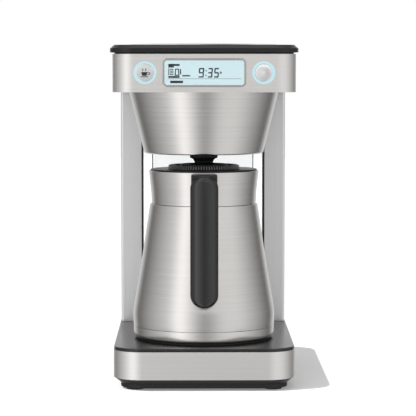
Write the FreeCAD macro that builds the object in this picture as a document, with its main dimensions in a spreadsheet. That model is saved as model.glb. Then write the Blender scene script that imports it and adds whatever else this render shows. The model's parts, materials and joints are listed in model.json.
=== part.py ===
"""Drip coffee maker with a vacuum carafe, as a parametric FreeCAD document.

Millimetres. +Z is up, the front faces -Y, and the origin is the centre of the footprint on the table.
The machine is a C-shaped frame: a base, two posts, and a head that overhangs the carafe with a steel funnel.
A clear water tank stands behind the posts. Every sub-part is one object whose sizes come from the sheet.
"""

import FreeCAD, Part
import math
import os

import Sketcher

Vector = FreeCAD.Vector
doc = FreeCAD.newDocument("coffee_maker")
sheet = doc.addObject("Spreadsheet::Sheet", "dims")
made = []  # the sub-parts, in the order that they are written


# ---------------------------------------------------------------- sizes
class Size:
    """A length that knows its number and the sheet expression that gives it."""

    def __init__(self, value, text):
        self.value = float(value)
        self.text = text

    @staticmethod
    def of(other):
        return other if isinstance(other, Size) else Size(other, "%.6g" % other)

    def join(self, other, sign, value):
        return Size(value, "(%s %s %s)" % (self.text, sign, other.text))

    def __add__(self, other):
        other = Size.of(other)
        return self.join(other, "+", self.value + other.value)

    def __radd__(self, other):
        return Size.of(other) + self

    def __sub__(self, other):
        other = Size.of(other)
        return self.join(other, "-", self.value - other.value)

    def __rsub__(self, other):
        return Size.of(other) - self

    def __mul__(self, other):
        other = Size.of(other)
        return self.join(other, "*", self.value * other.value)

    __rmul__ = __mul__

    def __truediv__(self, other):
        other = Size.of(other)
        return self.join(other, "/", self.value / other.value)

    def __neg__(self):
        return Size(-self.value, "(0 - %s)" % self.text)


row_count = 0


def size(alias, value, meaning):
    """Writes one driving dimension to the sheet."""
    global row_count
    row_count += 1
    sheet.set("A%d" % row_count, alias)
    sheet.set("B%d" % row_count, "%g" % value)
    sheet.set("C%d" % row_count, meaning)
    sheet.setAlias("B%d" % row_count, alias)
    return Size(value, "dims." + alias)


# overall
WIDTH = size("base_width", 222, "width of the base and the head")
DEPTH = size("base_depth", 372, "depth of the base, front to back")
CORNER = size("base_corner_radius", 36, "plan radius of the base's corners")
HEAD_CORNER = size("head_corner_radius", 26, "plan radius of the head's front corners")
REAR_CORNER = size("rear_corner_radius", 14, "plan radius of the head's rear corners")
OVERHANG = size("lid_overhang", 3, "how far the lid's rim stands out past the head")
SKIN = size("steel_skin", 1.2, "thickness of the steel bands, posts and funnel")
WALL = size("plastic_wall", 2.4, "wall of the moulded parts")
GAP = size("fit_gap", 0.3, "clearance between neighbours that don't touch")
# base
FOOT_H = size("foot_height", 2.5, "rubber foot, table to pan")
FOOT_R = size("foot_radius", 11, "radius of a rubber foot")
PAN_INSET = size("pan_inset", 9, "how far the pan tucks in under the band")
BAND_Z = size("base_band_bottom", 14, "table to the base band's lower edge")
BAND_H = size("base_band_height", 34, "height of the base band")
DECK_T = size("deck_thickness", 4, "black top plate of the base")
POST_R = size("screw_post_radius", 5, "screw posts in the base")
SCREW_R = size("screw_radius", 1.5, "shank of every case screw")
CORD_R = size("cord_inlet_radius", 3.9, "bore of the mains cord's bush")
SCREW_HEAD = size("screw_head_height", 2, "head of a case screw")
SCREW_HEAD_R = size("screw_head_radius", 3, "head of a case screw")
POST_X = size("screw_post_offset", 84, "middle to a row of screw posts")
POST_F1 = size("front_post_setback", 44, "base front to the front screw posts")
POST_F2 = size("rear_post_setback", 250, "base front to the rear screw posts")
POST_TOP = size("pan_post_height", 26, "table to the top of the pan's screw posts")
SCREW_LENGTH_IN_BOSS = size("screw_bite", 14, "how far a screw goes into its boss")
GLAND_X = size("cord_inlet_offset", 60, "middle to the cord's bush")
GLAND_Z = size("cord_inlet_height", 31, "table to the cord's bush")
GLAND_R = size("cord_bush_radius", 7, "outside of the cord's bush")
GLAND_L = size("cord_bush_length", 12, "length of the cord's bush")
# posts
POST_W = size("column_width", 29.4, "width of a post, seen from the front")
POST_D = size("column_depth", 36, "depth of a post")
POST_F = size("column_setback", 268, "base front to the posts' front face")
POST_IN = size("column_inset", 1.6, "post's outer face, in from the base's side")
POST_H = size("column_height", 310, "deck to head")
TRIM_T = size("column_trim", 2, "black inner cover of a post")
COLUMN_WALL = size("column_wall", 1.6, "wall of the aluminium posts")
COLUMN_EDGE = size("column_edge_radius", 3, "rounded upright edges of a post")
# head
HEAD_D = size("head_depth", 312, "depth of the head")
HEAD_H = size("head_height", 46, "height of the head band")
PANEL_Z = size("panel_height_in_head", 23.5, "head's lower edge to the display's centre")
GLASS_W = size("display_width", 95, "glass of the display")
GLASS_H = size("display_height", 29, "glass of the display")
BEZEL = size("bezel_width", 2.6, "bezel round the display")
KNOB_X = size("button_offset", 71.3, "display centre to a button's centre")
KNOB_R = size("button_radius", 10.4, "brew button and dial")
RING_R = size("light_ring_radius", 13.8, "outside of the ring of light")
LENS_T = size("lens_thickness", 1.8, "glass of the display")
PANEL_T = size("panel_thickness", 4, "lit display behind the glass")
BEZEL_R = size("bezel_corner_radius", 6, "outer corners of the bezel")
BEZEL_PROUD = size("bezel_proud", 0.6, "bezel, out past the band")
BUTTON_OUT = size("button_proud", 1, "button's face, out past the band")
BUTTON_L = size("button_depth", 6, "button behind the band's face")
STEM_R = size("stem_radius", 3, "stems of the button and the dial")
BOARD_BACK = size("display_board_setback", 12, "head front to the display's board")
SPRING_WIRE = size("spring_wire", 0.8, "radial thickness of the small springs")
WELL_R = size("well_radius", 84, "opening in the head that the basket drops through")
WELL_Z = size("well_rim_height", 26, "head's lower edge to the ledge that holds the basket")
HINGE_X = size("hinge_offset", 62, "middle to a hinge knuckle's centre")
KNUCKLE_W = size("knuckle_width", 16, "hinge knuckle on the lid")
EAR_W = size("ear_width", 4, "hinge ears on the head")
EAR_R = size("knuckle_radius", 4, "hinge knuckles and ears")
KNOB_DOME = size("dial_dome", 1, "crown of the dial")
# brewing
FUNNEL_TOP = size("funnel_top_radius", 93.8, "funnel at the head")
FUNNEL_LOW = size("funnel_bottom_radius", 74.6, "funnel's lower edge")
FUNNEL_H = size("funnel_height", 77.5, "head's lower edge to funnel's lower edge")
BASKET_R = size("basket_radius", 82, "brew basket at its mouth")
OUTLET_R = size("outlet_radius", 17.5, "basket's outlet hub")
SPOUT_R = size("spout_radius", 11.6, "drip spout")
FUNNEL_LIP = size("funnel_lip", 3, "rolled lower edge of the funnel")
BASKET_LOW = size("basket_floor_radius", 64, "brew basket at its floor")
HUB_H = size("outlet_height", 5.5, "outlet hub below the funnel")
SPOUT_H = size("spout_height", 7, "drip spout below the hub")
DRIP_R = size("drip_hole_radius", 4, "hole that the drip stop closes")
STOP_LIFT = size("drip_stop_lift", 3, "travel of the drip stop")
# lid
LID_T = size("lid_thickness", 11, "head band to the lid's flat edge")
LID_D = size("lid_depth", 284.5, "base front to the lid's rear edge")
DOME = size("lid_dome", 3.4, "crown of the steel plate above the lid's edge")
HINGE_F = size("hinge_setback", 290, "base front to the lid's hinge")
HINGE_Z = size("hinge_rise", 5, "head band to the hinge's axis")
PIN_R = size("pin_radius", 2, "hinge pins")
RUN = size("running_gap", 0.05, "radial clearance of a turning fit")
LID_GROOVE = size("lid_shadow_gap", 2, "inset strip between the head band and the lid's rim")
LID_EDGE_H = size("lid_rim_height", 5, "upright rim of the lid")
LID_SLOPE = size("lid_slope", 5, "how far the lid's top steps in")
PLATE_IN = size("plate_inset", 20, "lid's rim to the steel plate")
SHOWER_R = size("shower_radius", 42, "shower head under the lid")
SHOWER_H = size("shower_height", 9, "shower head under the lid")
SHOWER_HOLE_R = size("shower_hole_radius", 1.6, "holes in the shower head")
PLATE_CORNER = size("plate_corner_radius", 24, "corners of the steel plate")
CROWN_ARC = size("crown_arc_radius", 3000, "radius of the dome")
# tank
TANK_W = size("tank_width", 138, "clear tank, outside")
TANK_D = size("tank_depth", 52, "clear tank, outside")
TANK_DROP = size("tank_drop", 13, "head's top to the rim of the clear tank")
TANK_WALL = size("tank_wall", 2.2, "wall of the clear tank")
TANK_CORNER = size("tank_corner_radius", 8, "upright edges of the tank")
TANK_LID_T = size("tank_lid_thickness", 3, "cover of the tank")
TANK_HINGE_R = size("tank_knuckle_radius", 2.6, "hinge barrel of the tank's cover")
TANK_PIN_R = size("tank_pin_radius", 1.2, "hinge pin of the tank's cover")
TANK_HINGE_X = size("tank_hinge_offset", 40, "middle to a tank hinge's centre")
VALVE_R = size("tank_valve_radius", 5, "tank's foot valve")
SEAT_R = size("valve_seat_radius", 13, "socket under the tank's valve")
# carafe
CAN_CLEAR = size("carafe_headroom", 1, "carafe's lid to the drip spout")
CAN_R = size("carafe_radius", 89, "carafe at its widest")
COLLAR_H = size("carafe_collar_height", 42, "collar's seam to the carafe's rim")
NECK_IN = size("carafe_neck_step", 23, "carafe's widest, in to the collar at the seam")
RIM_OUT = size("carafe_rim_flare", 3, "collar at the seam, out to the flared rim")
RING_H = size("carafe_base_ring", 16.5, "deck to the base ring's seam")
GRIP_W = size("grip_width", 34, "carafe handle, seen from the front")
GRIP_LOW = size("grip_height", 48, "deck to the carafe handle's lower end")
STEEL = size("carafe_steel", 1, "steel of the carafe")
VACUUM = size("vacuum_gap", 3, "space between the carafe's two walls")
LINER_EDGE = size("liner_edge_radius", 5, "rounded edge of the liner's floor")
CAN_FOOT = size("carafe_foot_height", 2, "soft foot under the carafe")
SHOULDER_IN = size("carafe_shoulder_step", 11.6, "carafe's widest, in to where its side eases off")
UPPER_IN = size("carafe_upper_step", 21.4, "carafe's widest, in to just under the collar")
BELLY_H = size("carafe_belly_height", 32, "deck to the carafe's widest")
MOUTH_IN = size("carafe_mouth_step", 4.2, "collar at the seam, in to the carafe's mouth")
KNURL_R = size("lid_knurl_radius", 44.4, "ribbed ring on the carafe's lid")
KNURL_H = size("lid_knurl_height", 7, "ribbed ring on the carafe's lid")
DISH_R = size("lid_dish_radius", 30, "raised ring round the lid's dish")
PLUG_H = size("lid_plug_height", 22, "lid's plug below the rim")
SEAL_T = size("seal_thickness", 4, "lid's silicone ring")
GRIP_F = size("grip_setback", 5, "base front to the carafe handle's face")
GRIP_T = size("grip_thickness", 16, "carafe handle, front to back")
FINGERS = size("grip_gap", 5, "carafe handle to the carafe at its widest")
GRIP_EDGE = size("grip_edge_radius", 6, "rounded edges of the handle")
BRACKET_H = size("bracket_height", 14, "carafe handle's bracket")
# water, wires and boards
TUBE_BEND = size("tube_bend_radius", 11, "bends of the water tubes")
OUTLET_X = size("water_outlet_offset", 83, "middle to the water outlet")
OUTLET_BACK = size("water_outlet_setback", 40, "funnel's axis back to the water outlet")
OUTLET_L = size("water_outlet_length", 32, "water outlet, reaching over the basket")
RISER_X = size("riser_offset", 95, "middle to the water riser and the wires")
TUBE_R = size("tube_radius", 4.5, "outside of the water tubes")
TUBE_WALL = size("tube_wall", 1.2, "wall of the water tubes")
LOOM_R = size("loom_radius", 3.5, "bundle of wires in the right post")
PUMP_R = size("pump_radius", 14, "motor can of the pump")
PUMP_L = size("pump_length", 46, "motor can of the pump")
PUMP_X = size("pump_offset", 34, "middle to the pump")
PUMP_F = size("pump_setback", 225, "base front to the pump's motor")
PUMP_Z = size("pump_height", 24, "table to the pump's axis")
HEATER_X = size("heater_half_width", 45, "flow heater, middle to its end")
HEATER_R = size("heater_radius", 14, "flow heater")
HEATER_F = size("heater_setback", 150, "base front to the flow heater's front")
THERMOSTAT_R = size("thermostat_radius", 8, "cut-out disc")
THERMOSTAT_T = size("thermostat_depth", 5, "cut-out disc")
BOARD_T = size("board_thickness", 1.6, "circuit boards")
BOARD_W = size("control_board_width", 90, "control board in the base")
BOARD_D = size("control_board_depth", 60, "control board in the base")
BOARD_F = size("control_board_setback", 60, "base front to the control board")

# a full round is drawn just under half of its width, so that a flat is left between its two arcs
ALMOST = 0.98
# the carafe's side eases off just over half way from its widest place to the collar's seam
EASES_AT = 72 / 137

# places worked out from the sizes
FRONT = OVERHANG - (DEPTH + OVERHANG) / 2
DECK_Z = BAND_Z + BAND_H + DECK_T
HEAD_Z = DECK_Z + POST_H
HEAD_TOP = HEAD_Z + HEAD_H
AXIS_Y = FRONT + GRIP_F + GRIP_T + FINGERS + CAN_R
PANEL_CZ = HEAD_Z + PANEL_Z
ORIGIN = Size(0, "0")
PAN_FLOOR = FOOT_H + WALL
RISER_Y = FRONT + POST_F + POST_D / 2
TANK_Y = FRONT + HEAD_D + GAP * 2
VALVE_Y = TANK_Y + TANK_D / 2
PUMP_Y = FRONT + PUMP_F
COLUMN_FRONT = FRONT + POST_F
COLUMN_REAR = COLUMN_FRONT + POST_D
COLUMN_OUT = WIDTH / 2 - POST_IN
COLUMN_SIDE = COLUMN_OUT - POST_W
CHASSIS_IN = SKIN + GAP
HEAD_FLOOR = HEAD_Z + WALL
LEDGE_Z = HEAD_Z + WELL_Z
BUTTON_BACK = FRONT + BUTTON_L
BOARD_Y = FRONT + BOARD_BACK
CHASSIS_FRONT = FRONT + BOARD_BACK + BOARD_T + WALL * 2
HINGE_Y = FRONT + HINGE_F
HINGE_Z0 = HEAD_TOP + HINGE_Z
KNOB_BODY = BUTTON_OUT + BUTTON_L - SKIN - GAP - KNOB_DOME
KNOB_SOCKET = KNOB_BODY - SKIN * 2
KNOB_BACK = BUTTON_BACK - SKIN - GAP
FUNNEL_Z = HEAD_Z - FUNNEL_H
LINER_FLOOR = FUNNEL_Z + FUNNEL_LIP
BASKET_FLOOR = LINER_FLOOR + WALL * 2
HUB_Z = FUNNEL_Z - HUB_H
SPOUT_Z = HUB_Z - SPOUT_H
BASKET_RIM = LEDGE_Z + WALL
LID_LOW = HEAD_TOP + GAP
LID_RIM = HEAD_TOP + LID_GROOVE
LID_TOP = HEAD_TOP + LID_T
PLATE_Y = FRONT + (LID_D - OVERHANG) / 2
TANK_TOP = HEAD_TOP - TANK_DROP
TANK_HINGE_Y = TANK_Y + TANK_D + TANK_HINGE_R
TANK_HINGE_Z = TANK_TOP + GAP
SEAT_Z = DECK_Z - DECK_T - WALL
SEAT_TAIL = DECK_Z - DECK_T * 4
RING_Z = DECK_Z + RING_H
RIM_Z = SPOUT_Z - CAN_CLEAR - STEEL - KNURL_H
SEAM_Z = RIM_Z - COLLAR_H
BELLY_Z = DECK_Z + BELLY_H
SHOULDER_Z = BELLY_Z + (SEAM_Z - BELLY_Z) * EASES_AT
SHOULDER_R = CAN_R - SHOULDER_IN
UPPER_R = CAN_R - UPPER_IN
NECK_R = CAN_R - NECK_IN
RIM_R = NECK_R + RIM_OUT
MOUTH_R = NECK_R - MOUTH_IN
FOOT_TOP = DECK_Z + CAN_FOOT
FLOOR_Z = RING_Z - STEEL * 4
HEATER_END = FRONT + HEATER_F + HEATER_R
OUTLET_Y = AXIS_Y + OUTLET_BACK


# ---------------------------------------------------------------- sketches
def read(length):
    """The sheet's present value of a size, for shapes that are set directly."""
    return Size.of(length).value


def bind(obj, prop, length):
    obj.setExpression(prop, Size.of(length).text)


def body(label):
    """An empty PartDesign body that will be written as label.step."""
    new = doc.addObject("PartDesign::Body", label)
    new.Label = label
    made.append(new)
    return new


def put(obj, **where):
    """Places a whole sub-part: x, y or z from the sheet."""
    for axis, length in where.items():
        bind(obj, "Placement.Base." + axis, length)


def corner_arc(before, here, after, radius):
    """Tangent points, centre and middle of the arc that rounds the corner at here."""
    a = (before - here).normalize()
    b = (after - here).normalize()
    half = math.acos(max(-1.0, min(1.0, a.dot(b)))) / 2
    reach = radius / math.tan(half)
    centre = here + (a + b).normalize() * (radius / math.sin(half))
    start, end = here + a * reach, here + b * reach
    middle = centre + (here - centre).normalize() * radius
    return start, end, middle


def turns_right(points):
    """Whether a loop runs clockwise."""
    spots = [(Size.of(p[0]).value, Size.of(p[1]).value) for p in points]
    return sum(a[0] * b[1] - b[0] * a[1] for a, b in zip(spots, spots[1:] + spots[:1])) < 0


def outline(sketch, points):
    """Draws one closed loop. Each point is (across, up) or (across, up, radius), and every one is bound."""
    if turns_right(points):
        points = points[::-1]
    corners = [Vector(Size.of(p[0]).value, Size.of(p[1]).value, 0) for p in points]
    radii = [Size.of(p[2]) if len(p) > 2 else None for p in points]
    count = len(points)
    arcs = {}
    for i in range(count):
        if radii[i] is not None:
            before, after = corners[i - 1], corners[(i + 1) % count]
            arcs[i] = corner_arc(before, corners[i], after, radii[i].value)
    lines = []
    for i in range(count):
        j = (i + 1) % count
        start = arcs[i][1] if i in arcs else corners[i]
        end = arcs[j][0] if j in arcs else corners[j]
        lines.append(sketch.addGeometry(Part.LineSegment(start, end), False))
    rounds = {}
    for i, (start, end, middle) in arcs.items():
        bulges = (middle - start).cross(end - middle).z > 0
        ends = (start, end) if bulges else (end, start)
        rounds[i] = sketch.addGeometry(Part.Arc(ends[0], middle, ends[1]), False)
    for i in range(count):
        into, out = lines[i - 1], lines[i]
        if i not in arcs:
            sketch.addConstraint(Sketcher.Constraint("Coincident", into, 2, out, 1))
            spot, place = out, 1
        else:
            arc = rounds[i]
            curve = sketch.Geometry[arc]
            starts_here = curve.StartPoint.distanceToPoint(arcs[i][0]) < 1e-6
            first, last = (1, 2) if starts_here else (2, 1)
            sketch.addConstraint(Sketcher.Constraint("Tangent", into, 2, arc, first))
            sketch.addConstraint(Sketcher.Constraint("Tangent", arc, last, out, 1))
            row = sketch.addConstraint(Sketcher.Constraint("Radius", arc, radii[i].value))
            bind(sketch, "Constraints[%d]" % row, radii[i])
            spot = sketch.addGeometry(Part.Point(corners[i]), True)
            place = 1
            sketch.addConstraint(Sketcher.Constraint("PointOnObject", spot, 1, into))
            sketch.addConstraint(Sketcher.Constraint("PointOnObject", spot, 1, out))
        for kind, axis in (("DistanceX", 0), ("DistanceY", 1)):
            length = Size.of(points[i][axis])
            row = sketch.addConstraint(Sketcher.Constraint(kind, -1, 1, spot, place, length.value))
            bind(sketch, "Constraints[%d]" % row, length)


def circle(sketch, across, up, radius):
    """Draws one bound circle."""
    across, up, radius = Size.of(across), Size.of(up), Size.of(radius)
    centre = Vector(across.value, up.value, 0)
    ring = sketch.addGeometry(Part.Circle(centre, Vector(0, 0, 1), radius.value), False)
    row = sketch.addConstraint(Sketcher.Constraint("Radius", ring, radius.value))
    bind(sketch, "Constraints[%d]" % row, radius)
    for kind, length in (("DistanceX", across), ("DistanceY", up)):
        row = sketch.addConstraint(Sketcher.Constraint(kind, -1, 1, ring, 3, length.value))
        bind(sketch, "Constraints[%d]" % row, length)


def draw(owner, plane, loops, level=ORIGIN):
    """A sketch on one of the body's own planes. Three sizes make a circle, a list of points an outline."""
    sketch = owner.newObject("Sketcher::SketchObject", owner.Label + "_sketch")
    origin_plane = [o for o in owner.Origin.OriginFeatures if o.Role == plane][0]
    sketch.AttachmentSupport = (origin_plane, [""])
    sketch.MapMode = "FlatFace"
    bind(sketch, "AttachmentOffset.Base.z", -level if plane == "XZ_Plane" else level)
    for loop in loops:
        if isinstance(loop[0], (tuple, list)):
            outline(sketch, loop)
        else:
            circle(sketch, *loop)
    return sketch


def feature(owner, kind, sketch, length=None, backwards=False):
    new = owner.newObject("PartDesign::" + kind, owner.Label + "_" + kind)
    new.Profile = sketch
    if length is not None:
        bind(new, "Length", length)
        new.Reversed = backwards
    return new


def pad(owner, loops, low, high):
    """Adds material between two heights."""
    return feature(owner, "Pad", draw(owner, "XY_Plane", loops, low), high - low)


def pocket(owner, loops, low, high):
    """Removes material between two heights."""
    return feature(owner, "Pocket", draw(owner, "XY_Plane", loops, high), high - low)


def pad_y(owner, loops, near, far):
    """Adds material between two depths; near is the one towards the front."""
    return feature(owner, "Pad", draw(owner, "XZ_Plane", loops, near), far - near, True)


def pocket_y(owner, loops, near, far):
    """Removes material between two depths."""
    return feature(owner, "Pocket", draw(owner, "XZ_Plane", loops, near), far - near, False)


def turned(label, profile, x=ORIGIN, y=ORIGIN):
    """A body of revolution about a vertical axis at x, y. The profile is (radius, height) points."""
    new = body(label)
    spin(new, profile)
    put(new, x=x, y=y)
    return new


def spin(owner, profile, kind="Revolution"):
    sketch = draw(owner, "XZ_Plane", [profile])
    new = feature(owner, kind, sketch)
    new.ReferenceAxis = (sketch, ["V_Axis"])
    new.Angle = 360
    return new


def plan(inset, depth, front_radius, rear_radius):
    """The machine's plan shape, set in from the band's outside by inset."""
    half = WIDTH / 2 - inset
    front, rear = FRONT + inset, FRONT + depth - inset
    round_front, round_rear = front_radius - inset, rear_radius - inset
    return [
        (-half, front, round_front),
        (half, front, round_front),
        (half, rear, round_rear),
        (-half, rear, round_rear),
    ]


def base_plan(inset):
    return plan(inset, DEPTH, CORNER, CORNER)


def head_plan(inset):
    return plan(inset, HEAD_D, HEAD_CORNER, REAR_CORNER)


def block(x0, x1, y0, y1, radius=None):
    """A rectangle, with rounded corners where a radius is given."""
    points = [(x0, y0), (x1, y0), (x1, y1), (x0, y1)]
    return points if radius is None else [point + (radius,) for point in points]


def both_sides(x, y, radius):
    """Two circles, one on each side of the middle."""
    return [(-x, y, radius), (x, y, radius)]


def round_edges(owner, radius, wanted):
    """Fillets the edges of the body so far whose middle passes the test."""
    doc.recompute()
    base = owner.Tip
    names = []
    for number, edge in enumerate(base.Shape.Edges, 1):
        middle = edge.valueAt((edge.FirstParameter + edge.LastParameter) / 2)
        if wanted(middle, edge):
            names.append("Edge%d" % number)
    new = owner.newObject("PartDesign::Fillet", owner.Label + "_fillet")
    new.Base = (base, names)
    bind(new, "Radius", radius)
    return new


def at_height(height):
    return lambda middle, edge: abs(middle.z - height.value) < 0.01


# ---------------------------------------------------------------- the base


def post_places(radius):
    front = both_sides(POST_X, FRONT + POST_F1, radius)
    return front + both_sides(POST_X, FRONT + POST_F2, radius)


def foot_places(radius):
    inset = PAN_INSET + CORNER / 2
    front = both_sides(WIDTH / 2 - inset, FRONT + inset, radius)
    return front + both_sides(WIDTH / 2 - inset, FRONT + DEPTH - inset, radius)


def make_rubber_feet():
    """Four soft discs under the pan, each with a stud that snaps into the floor."""
    feet = body("rubber_feet")
    pad(feet, foot_places(FOOT_R), ORIGIN, FOOT_H)
    pad(feet, foot_places(FOOT_R / 3), FOOT_H, PAN_FLOOR)


def make_base_pan():
    """The black tray under the base: a narrow floor, a skirt that slopes out to the band, and screw posts."""
    pan = body("base_pan")
    skirt_bottom = FOOT_H + WALL * 2
    pad(pan, [base_plan(PAN_INSET)], FOOT_H, skirt_bottom)
    skirt = pan.newObject("PartDesign::AdditiveLoft", "base_pan_skirt")
    skirt.Profile = draw(pan, "XY_Plane", [base_plan(PAN_INSET)], skirt_bottom)
    skirt.Sections = [draw(pan, "XY_Plane", [base_plan(SKIN / 2)], BAND_Z)]
    pocket(pan, [base_plan(PAN_INSET + WALL)], PAN_FLOOR, BAND_Z)
    pad(pan, post_places(POST_R), FOOT_H, POST_TOP)
    pocket(pan, foot_places(FOOT_R / 3 + GAP / 3), FOOT_H, PAN_FLOOR)
    pocket(pan, post_places(SCREW_R + GAP / 3), FOOT_H, POST_TOP)
    pocket(pan, post_places(SCREW_HEAD_R + GAP), FOOT_H, FOOT_H + SCREW_HEAD + GAP)


def make_base_band():
    """The brushed steel band round the base, with a hole in the back for the cord's bush."""
    band = body("base_band")
    pad(band, [base_plan(ORIGIN), base_plan(SKIN)], BAND_Z, BAND_Z + BAND_H)
    rear = FRONT + DEPTH
    pocket_y(band, [(GLAND_X, GLAND_Z, GLAND_R + GAP / 3)], rear - SKIN * 3, rear + SKIN)


def make_base_deck():
    """The black top plate that the carafe, the posts and the tank stand on."""
    deck = body("base_deck")
    top = DECK_Z
    under = BAND_Z + BAND_H
    pad(deck, [base_plan(GAP)], under, top)
    pad(deck, [base_plan(SKIN + GAP), base_plan(SKIN + GAP + WALL)], under - DECK_T, under)
    pad(deck, post_places(POST_R), POST_TOP, under)
    pocket(deck, post_places(SCREW_R + GAP / 3), POST_TOP, under)
    pocket(deck, [(ORIGIN, VALVE_Y, SEAT_R + GAP)] + column_screw_places(SCREW_R + GAP / 3), under, top)
    pocket(deck, [(-RISER_X, RISER_Y, TUBE_R + GAP * 2), (RISER_X, RISER_Y, LOOM_R + GAP * 2)], under, top)
    round_edges(deck, DECK_T * 0.4, at_height(top))


def make_base_screws():
    """Four case screws, up through the pan's posts into the deck's bosses."""
    screws = body("base_screws")
    pad(screws, post_places(SCREW_HEAD_R), FOOT_H + GAP / 2, FOOT_H + SCREW_HEAD)
    pad(screws, post_places(SCREW_R), FOOT_H + SCREW_HEAD, POST_TOP + SCREW_LENGTH_IN_BOSS)


def make_cord_gland():
    """The bush that the mains cord comes out of: a collar outside, a groove for the steel, and a bore."""
    gland = body("cord_gland")
    rear = FRONT + DEPTH
    place = (GLAND_X, GLAND_Z)
    bore = place + (CORD_R,)
    pad_y(gland, [place + (GLAND_R,), bore], rear - GLAND_L, rear)
    pad_y(gland, [place + (GLAND_R + WALL,), bore], rear - SKIN - GAP - WALL, rear - SKIN - GAP / 3)


def make_pump():
    """The water pump: a motor can with its gear head, lying on the pan."""
    pump = body("pump")
    along, up = -PUMP_X, PUMP_Z
    pad_y(pump, [(along, up, PUMP_R)], PUMP_Y, PUMP_Y + PUMP_L)
    pad_y(pump, [(along, up, PUMP_R * 0.8)], PUMP_Y - PUMP_L / 3, PUMP_Y)
    pad(pump, [block(along - PUMP_R, along + PUMP_R, PUMP_Y, PUMP_Y + PUMP_L)], PAN_FLOOR, PUMP_Z)


def make_heater_block():
    """The flow heater: a cast block across the base with its tube connections at one end."""
    block_front = FRONT + HEATER_F
    heater = body("heater_block")
    flat = block(-HEATER_X, HEATER_X, block_front, block_front + HEATER_R * 2, HEATER_R / 2)
    pad(heater, [flat], PAN_FLOOR + WALL, PAN_FLOOR + WALL + HEATER_R * 2)
    legs = block(-HEATER_X + WALL, -HEATER_X + WALL * 4, block_front + WALL, block_front + WALL * 4)
    other = block(HEATER_X - WALL * 4, HEATER_X - WALL, block_front + WALL, block_front + WALL * 4)
    pad(heater, [legs, other], PAN_FLOOR, PAN_FLOOR + WALL)


def make_thermostat():
    """The cut-out disc that is clipped to the heater's front."""
    disc = body("thermostat")
    height = PAN_FLOOR + WALL + HEATER_R
    face = FRONT + HEATER_F
    pad_y(disc, [(ORIGIN, height, THERMOSTAT_R)], face - THERMOSTAT_T, face)
    pad_y(disc, both_sides(THERMOSTAT_R / 2, height, GAP * 3), face - THERMOSTAT_T * 2, face - THERMOSTAT_T)


def make_control_board():
    """The power board on four pillars on the pan's floor, with its tall parts."""
    board = body("control_board")
    front = FRONT + BOARD_F
    rear = front + BOARD_D
    half = BOARD_W / 2
    level = PAN_FLOOR + WALL * 2
    pillars = both_sides(half - POST_R, front + POST_R, POST_R / 2)
    pillars += both_sides(half - POST_R, rear - POST_R, POST_R / 2)
    pad(board, pillars, PAN_FLOOR, level)
    pad(board, [block(-half, half, front, rear)], level, level + BOARD_T)
    relay = block(-half + POST_R * 2, -half + POST_R * 6, front + POST_R * 2, front + POST_R * 5)
    choke = (half / 2, front + BOARD_D / 2, POST_R * 2)
    pad(board, [relay, choke], level + BOARD_T, level + BOARD_T + POST_R * 3)


# ---------------------------------------------------------------- the posts


def make_column(label, side):
    """An aluminium post: a channel that is open towards the middle of the machine."""
    post = body(label + "_cover")
    outer, inner = COLUMN_OUT * side, (COLUMN_SIDE + TRIM_T) * side
    channel = [
        (inner, COLUMN_FRONT),
        (outer, COLUMN_FRONT, COLUMN_EDGE),
        (outer, COLUMN_REAR, COLUMN_EDGE),
        (inner, COLUMN_REAR),
        (inner, COLUMN_REAR - COLUMN_WALL),
        (outer - COLUMN_WALL * side, COLUMN_REAR - COLUMN_WALL),
        (outer - COLUMN_WALL * side, COLUMN_FRONT + COLUMN_WALL),
        (inner, COLUMN_FRONT + COLUMN_WALL),
    ]
    pad(post, [channel], DECK_Z, HEAD_Z)


def make_column_trim(label, side):
    """The black cover that closes a post's channel, with two ribs that clip inside it."""
    trim = body(label + "_inner")
    face, back = COLUMN_SIDE * side, (COLUMN_SIDE + TRIM_T) * side
    pad(trim, [block(face, back, COLUMN_FRONT + GAP, COLUMN_REAR - GAP)], DECK_Z, HEAD_Z)
    rib = (COLUMN_SIDE + TRIM_T * 3) * side
    near, far = COLUMN_FRONT + COLUMN_WALL + GAP / 2, COLUMN_REAR - COLUMN_WALL - GAP / 2
    ribs = [block(back, rib, near, near + COLUMN_WALL), block(back, rib, far - COLUMN_WALL, far)]
    pad(trim, ribs, DECK_Z, HEAD_Z)


def column_screw_places(radius):
    offset = COLUMN_OUT - COLUMN_WALL - SCREW_R * 3
    near = COLUMN_FRONT + COLUMN_WALL + SCREW_R * 2
    far = COLUMN_REAR - COLUMN_WALL - SCREW_R * 2
    return both_sides(offset, near, radius) + both_sides(offset, far, radius)


def make_column_screws():
    """Two screws up into each post from under the deck."""
    screws = body("column_screws")
    under = DECK_Z - DECK_T
    pad(screws, column_screw_places(SCREW_R), under, DECK_Z + SCREW_LENGTH_IN_BOSS)
    pad(screws, column_screw_places(SCREW_HEAD_R * 0.8), under - SCREW_HEAD, under)


# ---------------------------------------------------------------- the head


def bezel_outline(grow):
    """The display's rounded rectangle, grown from the glass by the given amount."""
    half, rise = GLASS_W / 2 + grow, GLASS_H / 2 + grow
    radius = BEZEL_R - BEZEL + grow
    return block(-half, half, PANEL_CZ - rise, PANEL_CZ + rise, radius)


def make_head_band():
    """The brushed steel band round the head, cut out for the display and the two rings of light."""
    band = body("head_band")
    pad(band, [head_plan(ORIGIN), head_plan(SKIN)], HEAD_Z, HEAD_TOP)
    cuts = [bezel_outline(BEZEL + GAP / 3)] + both_sides(KNOB_X, PANEL_CZ, RING_R + GAP / 3)
    pocket_y(band, cuts, FRONT - SKIN, FRONT + SKIN * 3)


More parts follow.
